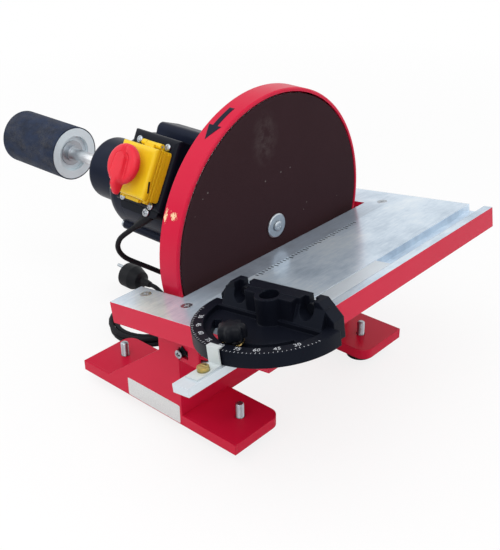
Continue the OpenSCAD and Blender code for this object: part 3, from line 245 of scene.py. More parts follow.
class Finish(NodeTree):
    # one material: a Principled shader and whatever feeds it

    def __init__(self, name, **fixed):
        self.material = bpy.data.materials.new(name)
        self.material.use_nodes = True
        super().__init__(self.material.node_tree)
        self.shader = self.tree.nodes["Principled BSDF"]
        self.set(**fixed)
        self.point = self.add("ShaderNodeTexCoord", {}, {}, "Object")

    def set(self, **values):
        for key, value in values.items():
            name = key.replace("_", " ").title().replace("Ior", "IOR")
            self.link(self.shader.inputs[name], rgba(value))

    def noise(self, scale, detail=3.0, rough=0.55, at=None):
        return self.add("ShaderNodeTexNoise", {}, {"Vector": at or self.point, "Scale": scale,
                                                   "Detail": detail, "Roughness": rough})

    def grain(self, stretch, detail=3.0, rough=0.6, turn=(0, 0, 0)):
        # noise with its own scale along each axis
        at = self.add("ShaderNodeMapping", {}, {"Vector": self.point, "Scale": stretch, "Rotation": turn})
        return self.noise(1.0, detail, rough, at)

    def cells(self, scale):
        return self.add("ShaderNodeTexVoronoi", {}, {"Vector": self.point, "Scale": scale})

    def ramp(self, value, stops):
        return self.add("ShaderNodeValToRGB", {"stops": stops}, {"Fac": value})

    def blend(self, share, first, second):
        # a Mix node's colours are its inputs 6 and 7 and its output 2
        inputs = {0: share, 6: rgba(first), 7: rgba(second)}
        return self.add("ShaderNodeMix", {"data_type": "RGBA"}, inputs, 2)

    def vectors(self, operation, first, second, output=0):
        inputs = {0: first, 1: tuple(second)}
        return self.add("ShaderNodeVectorMath", {"operation": operation}, inputs, output)

    def length(self, vector):
        return self.add("ShaderNodeVectorMath", {"operation": "LENGTH"}, {0: vector}, "Value")

    def along(self, direction, source=None):
        # how far a point lies along a direction
        return self.vectors("DOT_PRODUCT", source or self.point, direction, "Value")

    def nearness(self, at, reach):
        # 1 in the middle of an ellipsoid, 0 on its surface, less than 0 outside
        side = self.vectors("SUBTRACT", self.point, at)
        return 1 - self.length(self.vectors("DIVIDE", side, reach))

    def bump(self, height, strength, distance, edge=None):
        # fine relief, on top of edges that are rounded by a radius
        inputs = {"Height": height, "Strength": strength, "Distance": distance}
        if edge:
            inputs["Normal"] = self.add("ShaderNodeBevel", {"samples": 6}, {"Radius": edge})
        self.set(normal=self.add("ShaderNodeBump", {}, inputs))


# Finishes: colours are linear, read from the photograph's lit and shaded sides

# the cream colour and the two ellipsoids at the guard's rim are a painted reflection
redPaintLook = {"colour": (0.60, 0.010, 0.048), "deep": (0.53, 0.007, 0.036), "bare": (0.86, 0.60, 0.36),
                "cloud": 9, "peel": 420, "rough": 0.26, "roughSpread": 0.14, "chipRough": 0.3,
                "chipDepth": 1.5, "tear": (560, 820, 260), "tearFrom": 0.69, "tearReach": 0.35,
                "chips": [((-0.146, 0.0235, 0.266), (0.009, 0.0036, 0.012)),
                          ((-0.145, 0.0125, 0.2675), (0.008, 0.0070, 0.0065))]}


def paintedReflectionMask(skin, look):
    # painted reflection: cream patches of jagged noise drawn out along the rim, only inside the ellipsoids
    # where the reflection is painted
    jagged = skin.grain(look["tear"], detail=4, rough=0.7)
    mask = 0.0
    for at, reach in look["chips"]:
        near = skin.nearness(at, reach)
        mask = ((jagged + near * look["tearReach"]) > look["tearFrom"]) * (near > 0) + mask
    return mask


def paintTone(skin, look):
    # paint that drifts between two reds
    return skin.blend(skin.noise(look["cloud"], detail=2), look["deep"], look["colour"])


def makeRedPaint(look):
    # glossy paint with a slight orange peel, and a painted reflection: cream patches near the rim, also made
    # rougher and sunk
    skin = Finish("redPaint", coat_weight=0.06, coat_roughness=0.12, specular_ior_level=0.11)
    reflectionPatch = paintedReflectionMask(skin, look)
    rough = look["rough"] + skin.noise(60, detail=3) * look["roughSpread"] + reflectionPatch * look["chipRough"]
    # painted reflection: the cream patches replace the red
    skin.set(base_color=skin.blend(reflectionPatch, paintTone(skin, look), look["bare"]), roughness=rough)
    relief = skin.noise(look["peel"], detail=2) * 0.7 - reflectionPatch * look["chipDepth"]
    skin.bump(relief, strength=0.06, distance=0.0004, edge=0.0009)
    return skin.material


tableLook = {"tones": [(0.34, (0.39, 0.48, 0.58)), (0.54, (0.60, 0.70, 0.80)), (0.70, (0.75, 0.82, 0.87))],
             "blotchShare": 0.66, "strokeShare": 0.12, "scuffShare": 0.26,
             "dull": (0.24, 0.28, 0.35), "groundTo": 0.1035, "wander": 0.006, "dullHalf": 0.172,
             "dullFade": 0.05, "topDepth": 0.0006, "slotFloor": 0.0085, "slotHalf": 0.0099, "metallic": 0.5,
             "stroke": (26, 620, 620), "blotch": 17, "scuff": (60, 260, 60), "scuffTurn": (0, 0, 0.5),
             "paintRough": 0.26, "slotRough": 0.2}


def makeTableMetal(look, paint):
    # milled top and slot, painted skirt: split by height and facing in the table's own frame
    skin = Finish("tableMetal", specular_ior_level=0.2)
    right, back, up = tableAxes
    height = skin.along(up) - float(gaugeAt @ up)
    depth = skin.along(back) - float(gaugeAt @ back)
    across = (skin.along(right) - float(spindle[0])).maths("ABSOLUTE")
    faceUp = skin.along(up, skin.add("ShaderNodeTexCoord", {}, {}, "Normal")) > 0.5
    inSlot = (depth.maths("ABSOLUTE") < look["slotHalf"]) * (height > -look["slotFloor"] - look["topDepth"])
    milled = ((height > -look["topDepth"]) * faceUp + inSlot).maths("MINIMUM", 1.0)
    strokes = skin.grain(look["stroke"], detail=4)
    blotch = skin.noise(look["blotch"], detail=4, rough=0.62)
    scuff = skin.grain(look["scuff"], rough=0.7, turn=look["scuffTurn"])
    tone = blotch * look["blotchShare"] + strokes * look["strokeShare"] + scuff * look["scuffShare"]
    metal = skin.ramp(tone, look["tones"])
    # darker in a patchy strip beside the disc, fading out past the disc's ends
    behindStripEdge = (depth + (scuff - 0.5) * look["wander"]) > look["groundTo"]
    besideDisc = ((look["dullHalf"] - across) / look["dullFade"]).clamped()
    metal = skin.blend(behindStripEdge * besideDisc * (blotch * 1.5 - 0.2), metal, look["dull"])
    milledRough = 0.07 * strokes - 0.12 + 0.12 * blotch
    skin.set(base_color=skin.blend(milled, paintTone(skin, paint), metal), metallic=milled * look["metallic"],
             roughness=look["paintRough"] + milled * milledRough + inSlot * look["slotRough"])
    skin.bump(strokes * 0.6 + skin.noise(800, detail=2) * 0.4, strength=0.025, distance=0.0003, edge=0.0008)
    return skin.material


def makeBlackMetal(name, colour, rough, grit):
    # black paint with a bluish gleam
    skin = Finish(name, specular_ior_level=0.09, specular_tint=(0.62, 0.76, 1.0))
    tone = skin.blend(skin.noise(40), darker(colour, 0.75), darker(colour, 1.3))
    skin.set(base_color=tone, roughness=rough - 0.06 + skin.noise(90) * 0.14)
    skin.bump(skin.noise(grit, rough=0.6), strength=0.14, distance=0.0004, edge=0.0016)
    return skin.material


def makePlastic(name, colour, rough=0.32, shine=0.4):
    # moulded plastic: a faintly cloudy colour and a very fine grain
    skin = Finish(name, specular_ior_level=shine)
    skin.set(base_color=skin.blend(skin.noise(70), darker(colour, 0.82), colour),
             roughness=rough + skin.noise(260, detail=2) * 0.1)
    skin.bump(skin.noise(1500, detail=2), strength=0.06, distance=0.0002, edge=0.0009)
    return skin.material


def makeMetal(name, colour, rough, stretch=(1, 1, 1), scale=300, metal=1.0):
    # drawn or plated metal: fine lines along the stretch, faint stains
    skin = Finish(name, metallic=metal, specular_ior_level=0.3)
    line = skin.grain(tuple(scale * s for s in stretch))
    stain = skin.noise(34)
    skin.set(base_color=skin.blend(stain * 0.5 + line * 0.4, darker(colour, 0.72), colour),
             roughness=rough - 0.08 + line * 0.16 + stain * 0.06)
    skin.bump(line, strength=0.06, distance=0.0002, edge=0.0004)
    return skin.material


def makeTurnedMetal(name, colour, rough, rings=9000):
    # rings about the spindle, as a lathe leaves them: a sine of the distance from its axis
    skin = Finish(name, metallic=1.0)
    side = skin.vectors("SUBTRACT", skin.point, spindle)
    radius = skin.length(skin.vectors("MULTIPLY", side, (1, 0, 1)))
    ring = (radius * rings).maths("SINE") * 0.5 + 0.5
    skin.set(base_color=skin.blend(skin.noise(50), darker(colour, 0.8), colour),
             roughness=rough + ring * 0.08)
    skin.bump(ring, strength=0.05, distance=0.0001, edge=0.0005)
    return skin.material


# the lighter patch in the ellipsoid above the spindle is a painted highlight; the specks are dust
abrasiveLook = {"dark": (0.022, 0.0100, 0.0125), "light": (0.042, 0.019, 0.023), "dust": (0.26, 0.23, 0.22),
                "grit": 1500, "smearAt": (-0.018, 0.0, 0.108), "smearReach": (0.024, 0.05, 0.034),
                "smear": 0.26, "speckScale": 75, "speckSize": 0.085, "speckFrom": 0.56, "speck": 0.4}


def makeAbrasive(look):
    # brown grit with a painted highlight, a grainy lighter patch in an ellipsoid at the upper middle, and a
    # few lighter specks of dust
    skin = Finish("brownAbrasive", specular_ior_level=0.08)
    cell, fleck = skin.cells(look["grit"]), skin.noise(look["grit"] * 0.6, detail=2, rough=0.6)
    wear = skin.noise(13)
    grit = skin.blend((fleck + wear * 0.5) * 0.7, look["dark"], look["light"])
    near = skin.nearness(spindle + np.array(look["smearAt"]), look["smearReach"]).maths("MAXIMUM", 0.0)
    specks = (skin.cells(look["speckScale"]) < look["speckSize"]) * (wear > look["speckFrom"])
    patchNoise = (skin.noise(85, detail=4, rough=0.75) * 3 - 1.2).clamped() * (fleck + 0.4)
    # the dust colour is a painted highlight in the ellipsoid and real dust in the specks
    dust = near * look["smear"] * patchNoise + specks * look["speck"]
    skin.set(base_color=skin.blend(dust, grit, look["dust"]), roughness=0.78 + cell * 0.2)
    skin.bump(cell + fleck * 0.5, strength=0.35, distance=0.0004)
    return skin.material


sleeveLook = {"dark": (0.0035, 0.0065, 0.015), "light": (0.016, 0.030, 0.072), "dust": (0.085, 0.078, 0.068),
              "grit": 1300, "rub": (48, 30, 48), "lapPitch": 0.16, "lapHalf": 0.004}


def makeSleeveCloth(look):
    # abrasive cloth in a helix: the lap is where the turn about the spindle plus the length along it is whole
    skin = Finish("sleeveCloth", specular_ior_level=0.18)
    aside, above = (skin.along(axis) - float(spindle @ axis) for axis in (upAxes[0], upAxes[2]))
    turn = aside.maths("ARCTAN2", above)
    lap = (turn / (2 * math.pi) + skin.along(upAxes[1]) / look["lapPitch"]).maths("FRACT") < look["lapHalf"]
    cell, fleck = skin.cells(look["grit"]), skin.noise(look["grit"] * 0.6, detail=2, rough=0.6)
    patchNoise, blotch = skin.grain(look["rub"], detail=4, rough=0.65), skin.noise(70, detail=4, rough=0.7)
    cloth = skin.blend((fleck * 0.5 + blotch * 1.6 - 0.55).clamped(), look["dark"], look["light"])
    worn = ((patchNoise - 0.44) * 3).clamped() * (fleck > 0.46)
    cloth = skin.blend(worn * 0.6, cloth, look["dust"])
    cloth = skin.blend(lap * (fleck > 0.5) * 0.7, cloth, look["dust"])
    skin.set(base_color=cloth, roughness=0.55 + cell * 0.25)
    skin.bump(cell + fleck * 0.5 - lap * 3, strength=0.3, distance=0.0004)
    return skin.material


def makeDullMetal(name, colour):
    # dull turned aluminium and bent sheet
    skin = Finish(name)
    grain = skin.grain((500, 500, 500))
    skin.set(base_color=skin.blend(grain, darker(colour, 0.86), colour), metallic=0.25 + grain * 0.2,
             roughness=0.42 + grain * 0.16)
    skin.bump(grain, strength=0.08, distance=0.0002, edge=0.0006)
    return skin.material


def makeRubber(name, colour):
    # dull rubber, darker in patches
    skin = Finish(name, specular_ior_level=0.14)
    skin.set(base_color=skin.blend(skin.noise(60), darker(colour, 0.7), colour),
             roughness=0.5 + skin.noise(400, detail=2) * 0.2)
    skin.bump(skin.noise(900, detail=2), strength=0.12, distance=0.0003, edge=0.0008)
    return skin.material


gaugeScrewLook = {"zinc": (0.62, 0.63, 0.65),
                  "yellow": [(0.3, (0.46, 0.32, 0.10)), (0.5, (0.38, 0.33, 0.13)), (0.7, (0.50, 0.32, 0.12))]}


def makeGaugeScrews(look):
    # zinc pivot screw, yellow passivated pointer screw
    skin = Finish("gaugeScrewMetal", metallic=1.0)
    isPointer = skin.along(upAxes[0]) < pointerSide
    tint = skin.ramp(skin.noise(150), look["yellow"])
    skin.set(base_color=skin.blend(isPointer, look["zinc"], tint), roughness=0.26 + skin.noise(300) * 0.12)
    skin.bump(skin.noise(400, detail=2), strength=0.05, distance=0.0002, edge=0.0004)
    return skin.material


def makeInk(name, colour, rough=0.5):
    # flat ink, thinner in places
    skin = Finish(name, roughness=rough, specular_ior_level=0.08)
    skin.set(base_color=skin.blend(skin.noise(500), darker(colour, 0.7), colour))
    return skin.material


finishes = {
    "redPaint": makeRedPaint(redPaintLook),
    "tableMetal": makeTableMetal(tableLook, redPaintLook),
    "gaugeBlack": makeBlackMetal("gaugeBlack", (0.0042, 0.0050, 0.0090), rough=0.38, grit=900),
    "motorBlack": makeBlackMetal("motorBlack", (0.0060, 0.0085, 0.0200), rough=0.30, grit=700),
    "boxBlack": makePlastic("boxBlack", (0.0045, 0.0065, 0.0130), rough=0.28, shine=0.09),
    "knobBlack": makePlastic("knobBlack", (0.0045, 0.0055, 0.0090), rough=0.32, shine=0.12),
    "plugBlack": makePlastic("plugBlack", (0.008, 0.009, 0.012), rough=0.4, shine=0.14),
    "yellow": makePlastic("yellowPlastic", (0.88, 0.60, 0.014), rough=0.3, shine=0.25),
    "red": makePlastic("redPlastic", (0.76, 0.026, 0.048), rough=0.3, shine=0.2),
    "green": makePlastic("greenPlastic", (0.02, 0.26, 0.06), rough=0.3),
    "zinc": makeMetal("zincSteel", (0.46, 0.50, 0.54), rough=0.32),
    "barSteel": makeMetal("barSteel", (0.72, 0.79, 0.85), rough=0.34, stretch=(0.05, 1, 1), scale=700,
                          metal=0.5),
    "trunnionSteel": makeMetal("trunnionSteel", (0.28, 0.29, 0.31), rough=0.45),
    "shaftSteel": makeTurnedMetal("shaftSteel", (0.72, 0.73, 0.75), rough=0.22),
    "coreSteel": makeMetal("coreSteel", (0.35, 0.36, 0.38), rough=0.45, stretch=(1, 12, 1), scale=200),
    "copper": makeMetal("copperWire", (0.72, 0.34, 0.14), rough=0.35, scale=900),
    "discAluminium": makeTurnedMetal("discAluminium", (0.74, 0.75, 0.77), rough=0.3),
    "brass": makeMetal("brassRim", (0.80, 0.58, 0.22), rough=0.24),
    "abrasive": makeAbrasive(abrasiveLook),
    "sleeveCloth": makeSleeveCloth(sleeveLook),
    "coreFace": makeDullMetal("coreFace", (0.70, 0.79, 0.84)),
    "bracketPlate": makeDullMetal("bracketPlate", (0.62, 0.67, 0.68)),
    "rubber": makeRubber("footRubber", (0.014, 0.014, 0.015)),
    "cord": makeRubber("cordSheath", (0.007, 0.008, 0.011)),
    "gaugeScrew": makeGaugeScrews(gaugeScrewLook),
    "whiteInk": makeInk("whiteInk", (0.58, 0.60, 0.64)),
    # navy: ink for the turning arrow, painted shade for the lid's slit
    "navyInk": makeInk("navyInk", (0.010, 0.014, 0.028)),
    "rulerInk": makeInk("rulerInk", (0.012, 0.014, 0.020)),
    "plate": makeInk("blankPlate", (0.78, 0.80, 0.80), rough=0.4),
}

nodeFinish = {
    "redPaint": ["left_side_plate", "right_side_plate", "left_foot_plate", "right_foot_plate",
                 "front_cross_plate", "rear_bulkhead", "disc_guard"],
    "tableMetal": ["table"],
    "gaugeBlack": ["miter_head"],
    "motorBlack": ["motor_housing", "front_bell", "rear_bell", "fan_cover", "capacitor_cover"],
    "boxBlack": ["switch_box", "switch_module", "cooling_fan"],
    "knobBlack": ["lock_knob", "lock_screws", "fence_screws"],
    "plugBlack": ["plug_body", "cord_gland"],
    "yellow": ["switch_frame", "switch_lid"],
    "red": ["stop_paddle", "stop_button"],
    "green": ["start_button"],
    "zinc": ["foot_studs", "foot_nuts", "guard_bolts", "flange_bolts", "tie_bolts", "box_screws", "lid_pin",
             "disc_washer", "disc_screw", "drum_nut", "drum_washers", "table_screws", "pivot_bolts",
             "pivot_nuts", "plug_pins", "shaft_bearings"],
    "trunnionSteel": ["left_trunnion", "right_trunnion"],
    "barSteel": ["miter_bar"],
    "shaftSteel": ["motor_shaft"],
    "coreSteel": ["stator_core", "rotor_core"],
    "copper": ["stator_windings"],
    "discAluminium": ["disc_plate"],
    "coreFace": ["drum_core"],
    "bracketPlate": ["pointer_bracket"],
    "abrasive": ["abrasive_disc"],
    "sleeveCloth": ["drum_sleeve"],
    "rubber": ["rubber_feet"],
    "cord": ["cord_run", "cord_coil", "cord_tail"],
    "gaugeScrew": ["gauge_screws"],
}
for finish, names in nodeFinish.items():
    for name in names:
        nodes[name].data.materials.clear()
        nodes[name].data.materials.append(finishes[finish])
print("finishes on", sum(len(names) for names in nodeFinish.values()), "nodes")


# Camera at the photograph's view, from the fit of the disc, table and feet

cameraLook = {"at": (-0.70602, -0.59877, 0.63867), "yaw": 47.82, "pitch": 28.01, "roll": -0.84,
              "focalPixels": 895.62, "longSide": 550, "sensor": 36.0, "near": 0.01, "far": 50}


def aimed(name, data, right, above, back, at):
    # a camera or lamp, with its own axes and place as the columns of its matrix
    rows = np.eye(4)
    rows[:3] = np.stack([right, above, back, at], axis=1)
    thing = bpy.data.objects.new(name, data)
    thing.matrix_world = Matrix(rows.tolist())
    scene.collection.objects.link(thing)
    return thing


def makeCamera(look):
    # ahead, right and above follow from yaw and pitch, then turn together by the roll
    yaw, pitch, roll = (math.radians(look[k]) for k in ("yaw", "pitch", "roll"))
    ahead = np.array([math.sin(yaw) * math.cos(pitch), math.cos(yaw) * math.cos(pitch), -math.sin(pitch)])
    right = np.array([math.cos(yaw), -math.sin(yaw), 0.0])
    above = np.cross(right, ahead)
    tiltedRight = math.cos(roll) * right + math.sin(roll) * above
    tiltedUp = math.cos(roll) * above - math.sin(roll) * right
    lens = bpy.data.cameras.new("camera")
    lens.sensor_width = look["sensor"]
    lens.lens = look["sensor"] * look["focalPixels"] / look["longSide"]
    lens.clip_start, lens.clip_end = look["near"], look["far"]
    scene.camera = aimed("camera", lens, tiltedRight, tiltedUp, -ahead, look["at"])


makeCamera(cameraLook)
print("camera set")


# Mains cord: free run from the gland, coil on the bench, tail to the plug, in millimetres

cordLook = {
    "diameter": 6.4, "smooth": 6, "sides": 5,
    "run": [(-81.2, 147.6, 193.6), (-83.6, 152.7, 189.1), (-86, 157.7, 184.7), (-88.3, 162.8, 180.2),
            (-90.2, 168, 174.7), (-90.6, 172.2, 168.3), (-89.6, 175.4, 161.3), (-87.1, 177.1, 154.1),
            (-83.3, 177.4, 147.4), (-78.6, 176.2, 141.4), (-73.1, 173.6, 136.6), (-65.8, 169.4, 131.2),
            (-58.4, 165.2, 125.9), (-51.1, 161, 120.6), (-30.5, 150.8, 104.8), (-15.5, 147.6, 90.2),
            (-2, 147.8, 75.4), (10, 150.8, 60.6), (20.6, 156.3, 46.6), (29.6, 163.9, 33.8),
            (36.5, 173.3, 23.4), (40.6, 183.7, 16), (42, 194.2, 12)],
    "tail": [(42, 225.6, 3.6), (42, 232.5, 4.7), (42, 240, 7.6), (42, 247, 11.2), (42, 254, 14.8),
             (42, 261, 17.5), (42, 267, 18.5), (42, 274, 18.5)],
    "coilAt": (-15, 212), "coilRadius": 57, "pitch": 7.1, "turns": 4, "low": 3.6, "lift": 7.2, "steps": 30,
    "climbTurns": 0.5,
}


def smoothLine(points, steps):
    # Catmull-Rom curve through the points: each span is a cubic of its four neighbours
    p = np.array(points, float)
    p = np.concatenate([[2 * p[0] - p[1]], p, [2 * p[-1] - p[-2]]])
    t = np.linspace(0, 1, steps, endpoint=False)[None, :, None]
    a, b, c, d = (p[i:len(p) - 3 + i, None, :] for i in range(4))
    square, cube = 2 * a - 5 * b + 4 * c - d, 3 * b - a - 3 * c + d
    spans = 0.5 * (2 * b + (c - a) * t + square * t ** 2 + cube * t ** 3)
    return np.concatenate([spans.reshape(-1, 3), p[-2:-1]])


def coilLine(look):
    # a spiral in and out again, climbing one layer in the half turn where it reverses
    t = np.linspace(look["turns"], 0, look["turns"] * look["steps"] + 1)
    radius = look["coilRadius"] - look["pitch"] * np.minimum(t, look["turns"] - t)
    climb = smoothStep((t - look["turns"] / 2 + look["climbTurns"] / 2) / look["climbTurns"])
    angle = -2 * np.pi * t
    return np.stack([look["coilAt"][0] + radius * np.cos(angle), look["coilAt"][1] + radius * np.sin(angle),
                     look["low"] + look["lift"] * climb], axis=1)


def makeCord(look):
    # a round section carried along the lead, the coil and the tail as one open line
    coil = coilLine(look)
    lead = smoothLine(look["run"] + [tuple(coil[0])], look["smooth"])[:-1]
    tail = smoothLine([tuple(coil[-1])] + look["tail"], look["smooth"])[1:]
    path = np.concatenate([lead, coil, tail]) * mm
    curve = bpy.data.curves.new("mainsCord", "CURVE")
    curve.dimensions = "3D"
    curve.bevel_depth = look["diameter"] * mm / 2
    curve.bevel_resolution = look["sides"]
    curve.use_fill_caps = True
    spline = curve.splines.new("POLY")
    spline.points.add(len(path) - 1)
    spline.points.foreach_set("co", np.c_[path, np.ones(len(path))].ravel())
    spline.use_smooth = True
    curve.materials.append(finishes["cord"])
    cord = bpy.data.objects.new("mainsCord", curve)
    scene.collection.objects.link(cord)
    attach(cord, "root")
    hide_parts("cord_run", "cord_coil", "cord_tail")


makeCord(cordLook)


# Threaded studs of the rubber feet, in millimetres

studLook = {"radius": 5.0, "shank": 5.4, "pitch": 1.5, "depth": 0.75, "turns": 36, "perPitch": 6,
            "chamfer": 1.2, "chamferDepth": 1.6, "short": 4.5}


def makeStuds(look):
    # thread: radius falls and rises once per pitch along the height, shifted once per turn of the angle
    low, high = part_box("foot_studs")
    length = (high.z - low.z) / mm - look["short"]
    rows = int(length / look["pitch"] * look["perPitch"])
    height = np.linspace(0, length, rows)[:, None]
    phase = (height / look["pitch"] - around(look["turns"]) / (2 * np.pi)) % 1
    radius = look["radius"] - look["depth"] * np.abs(2 * phase - 1)
    ends = np.minimum(height, length - height) / look["chamfer"]
    cone = look["radius"] - look["depth"] * look["chamferDepth"] * np.clip(1 - ends, 0, 1)
    thread = polarGrid(np.minimum(radius, cone), height, look["turns"])
    foot, tip = (polarGrid(0.0, z, look["turns"]) for z in (0, length))
    grid = np.concatenate([foot, thread, tip]) * mm
    edge = look["shank"] * mm
    spots = [(x, y) for x in (low.x + edge, high.x - edge) for y in (low.y + edge, high.y - edge)]
    studs = [surface("stud", place(grid, (x, y, low.z), upAxes), True, finishes["zinc"]) for x, y in spots]
    studs = joined("threadedStuds", studs)
    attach(studs, "root")
    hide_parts("foot_studs")


makeStuds(studLook)
print("studs threaded")


# Screw heads with a driver recess, set over the plain heads, in millimetres

screwLook = {
    "box": {"radius": 4.4, "base": 0.8, "crown": 2.6, "size": (0.85, 2.7), "depth": 1.5},
    "earth": {"radius": 5.2, "base": 0.9, "crown": 2.8, "size": (0.95, 3.4), "depth": 1.8},
    "lock": {"radius": 5.0, "base": 0.5, "crown": 2.1, "size": (1.1, 3.6), "depth": 1.8},
    "table": {"radius": 6.3, "base": 0.2, "crown": 0.32, "size": (0.7, 3.0), "depth": 0.3},
    "pointer": {"radius": 5.7, "base": 2.6, "crown": 4.4, "size": (0.7, 6.5), "depth": 1.1},
    "disc": {"radius": 6.2, "base": 1.4, "crown": 2.9, "size": (0.8, 3.2), "depth": 0.4},
}
headGrid = {"turns": 72, "rows": 26, "power": 3, "wall": 0.35, "end": 0.5}
headSeat = {"boxApart": 20, "boxFace": 0.5, "boxSink": 2.2, "apart": 30, "face": 0.3, "lockSink": 0.3,
            "pointerSink": 4, "discSink": 2.4,
            "earth": (-131.0, -32.4, 71.9)}  # across, up and out from the spindle


def recessDepth(x, y, kind, size):
    # 1 inside the driver's cross or slot, 0 outside, with soft walls
    wide, long = size

    def bar(a, b):
        walls = smoothStep((wide - np.abs(a)) / headGrid["wall"] + 0.5)
        return walls * smoothStep((long - np.abs(b)) / headGrid["end"] + 0.5)

    return np.maximum(bar(x, y), bar(y, x)) if kind == "cross" else bar(x, y)


def screwHead(name, at, axes, look, kind="cross", finish="zinc"):
    # pan head: height over radius is a flattened dome, less the recess
    reach = np.linspace(0, look["radius"], headGrid["rows"])[:, None]
    angle = around(headGrid["turns"])
    flat = np.clip(1 - (reach / look["radius"]) ** headGrid["power"], 0, 1)
    dome = look["base"] + (look["crown"] - look["base"]) * np.sqrt(flat)
    recess = recessDepth(reach * np.cos(angle), reach * np.sin(angle), kind, look["size"])
    top = polarGrid(reach, dome - look["depth"] * recess, headGrid["turns"])
    skirt = top[-1:].copy()
    skirt[..., 2] = 0
    grid = np.concatenate([top, skirt, np.zeros_like(skirt)]) * mm
    return surface(name, place(grid, at, axes), True, finishes[finish])


def islands(node, apart):
    # a node's separate solids as groups of points, split by plain distance
    points = meshPoints(nodes[node].data)
    groups = []
    while len(points):
        near = np.linalg.norm(points - points[0], axis=1) < apart * mm
        groups.append(points[near])
        points = points[~near]
    return groups


def outerFace(group, axis, depth):
    # middle of a solid's outermost points along an axis
    lift = group @ axis
    return group[lift > lift.max() - depth * mm].mean(axis=0)


def makeBoxScrewHeads(seat):
    # one head on each plain screw's face, and the earth screw beside them
    heads = []
    for group in islands("box_screws", seat["boxApart"]):
        middle = outerFace(group, -inward, seat["boxFace"]) + inward * seat["boxSink"] * mm
        heads.append(screwHead("boxHead", middle, flankAxes, screwLook["box"]))
    earthAt = place(np.array(seat["earth"]) * mm, spindle, flankAxes)
    heads.append(screwHead("earthHead", earthAt, flankAxes, screwLook["earth"]))
    heads = joined("boxScrewHeads", heads)
    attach(heads, "root")


def makeLockScrewHeads(seat):
    # the same head, facing out on both sides of the base
    low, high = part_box("lock_screws")
    y, z = (low.y + high.y) / 2, (low.z + high.z) / 2
    heads = []
    for side, edge in ((-1, low.x), (1, high.x)):
        axes = np.array([(0, side, 0), (0, 0, 1), (side, 0, 0)], float)
        at = (edge - side * seat["lockSink"] * mm, y, z)
        heads.append(screwHead("lockHead", at, axes, screwLook["lock"]))
    heads = joined("lockScrewHeads", heads)
    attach(heads, "root")


def makeTableScrewHeads(seat):
    # nearly flat heads on the faces of the plain screws
    heads = []
    for group in islands("table_screws", seat["apart"]):
        middle = outerFace(group, tableAxes[2], seat["face"])
        heads.append(screwHead("tableHead", middle, tableAxes, screwLook["table"]))
    heads = joined("tableScrewHeads", heads)
    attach(heads, "table")


def makePointerScrewHead(seat):
    # a slotted head, its foot sunk below the top of the pointer's screw
    groups = islands("gauge_screws", seat["apart"])
    pointer = [group for group in groups if group[:, 0].mean() < pointerSide][0]
    middle = outerFace(pointer, tableAxes[2], seat["face"]) - tableAxes[2] * seat["pointerSink"] * mm
    head = screwHead("pointerScrewHead", middle, tableAxes, screwLook["pointer"], "slot", "gaugeScrew")
    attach(head, "miter_carriage")


def makeDiscScrewHead(seat):
    # one head on the spindle's axis, facing forward
    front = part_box("disc_screw")[0].y + seat["discSink"] * mm
    axes = np.array([(1, 0, 0), (0, 0, 1), (0, -1, 0)], float)
    head = screwHead("discScrewHead", (spindle[0], front, spindle[2]), axes, screwLook["disc"])
    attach(head, "rotor")


makeBoxScrewHeads(headSeat)
makeLockScrewHeads(headSeat)
makeTableScrewHeads(headSeat)
makePointerScrewHead(headSeat)
makeDiscScrewHead(headSeat)
print("screw heads done")


# Red stop paddle: mushroom with a thumb ridge and a lower tab, in millimetres

paddleLook = {"radius": 23.3, "thick": 9.0, "ridgeHalf": 8.0, "ridgeMiddle": 4.8, "flare": 0.075,
              "ridge": 4.0, "ridgeWall": 1.8, "ridgeStart": 0.3, "ridgeEnd": -33, "ridgeFade": 9,
              "groove": 1.1, "grooveAside": 1.6, "grooveHalf": 1.5, "grooveEnd": -20, "grooveFade": 6,
              "tab": 12.3, "tabHalf": 9.5, "rim": [(1.0, 2.4), (0.995, 0.8), (0.97, 0.0)],
              "headDepth": 14.0, "headSlack": 0.1, "stem": 8.6, "stemLength": 22.0, "turns": 96, "rows": 40,
              "edgeFall": 0.5, "edgePower": 14, "reliefFall": 0.8, "reliefPower": 8}


def paddleSeat(look):
    # middle of the round head, on the lid's face: from the outermost points of the node
    points = meshPoints(nodes["stop_paddle"].data)
    out = -(points @ inward)
    head = points[out > out.max() - (look["headDepth"] - look["headSlack"]) * mm]
    across, upward = head @ flankAxes[0], head @ flankAxes[1]
    middle = (across.max() + across.min()) / 2
    crown = upward.max() - look["radius"] * mm
    return flankAxes[0] * middle + flankAxes[1] * crown + flankAxes[2] * (out.max() - look["headDepth"] * mm)


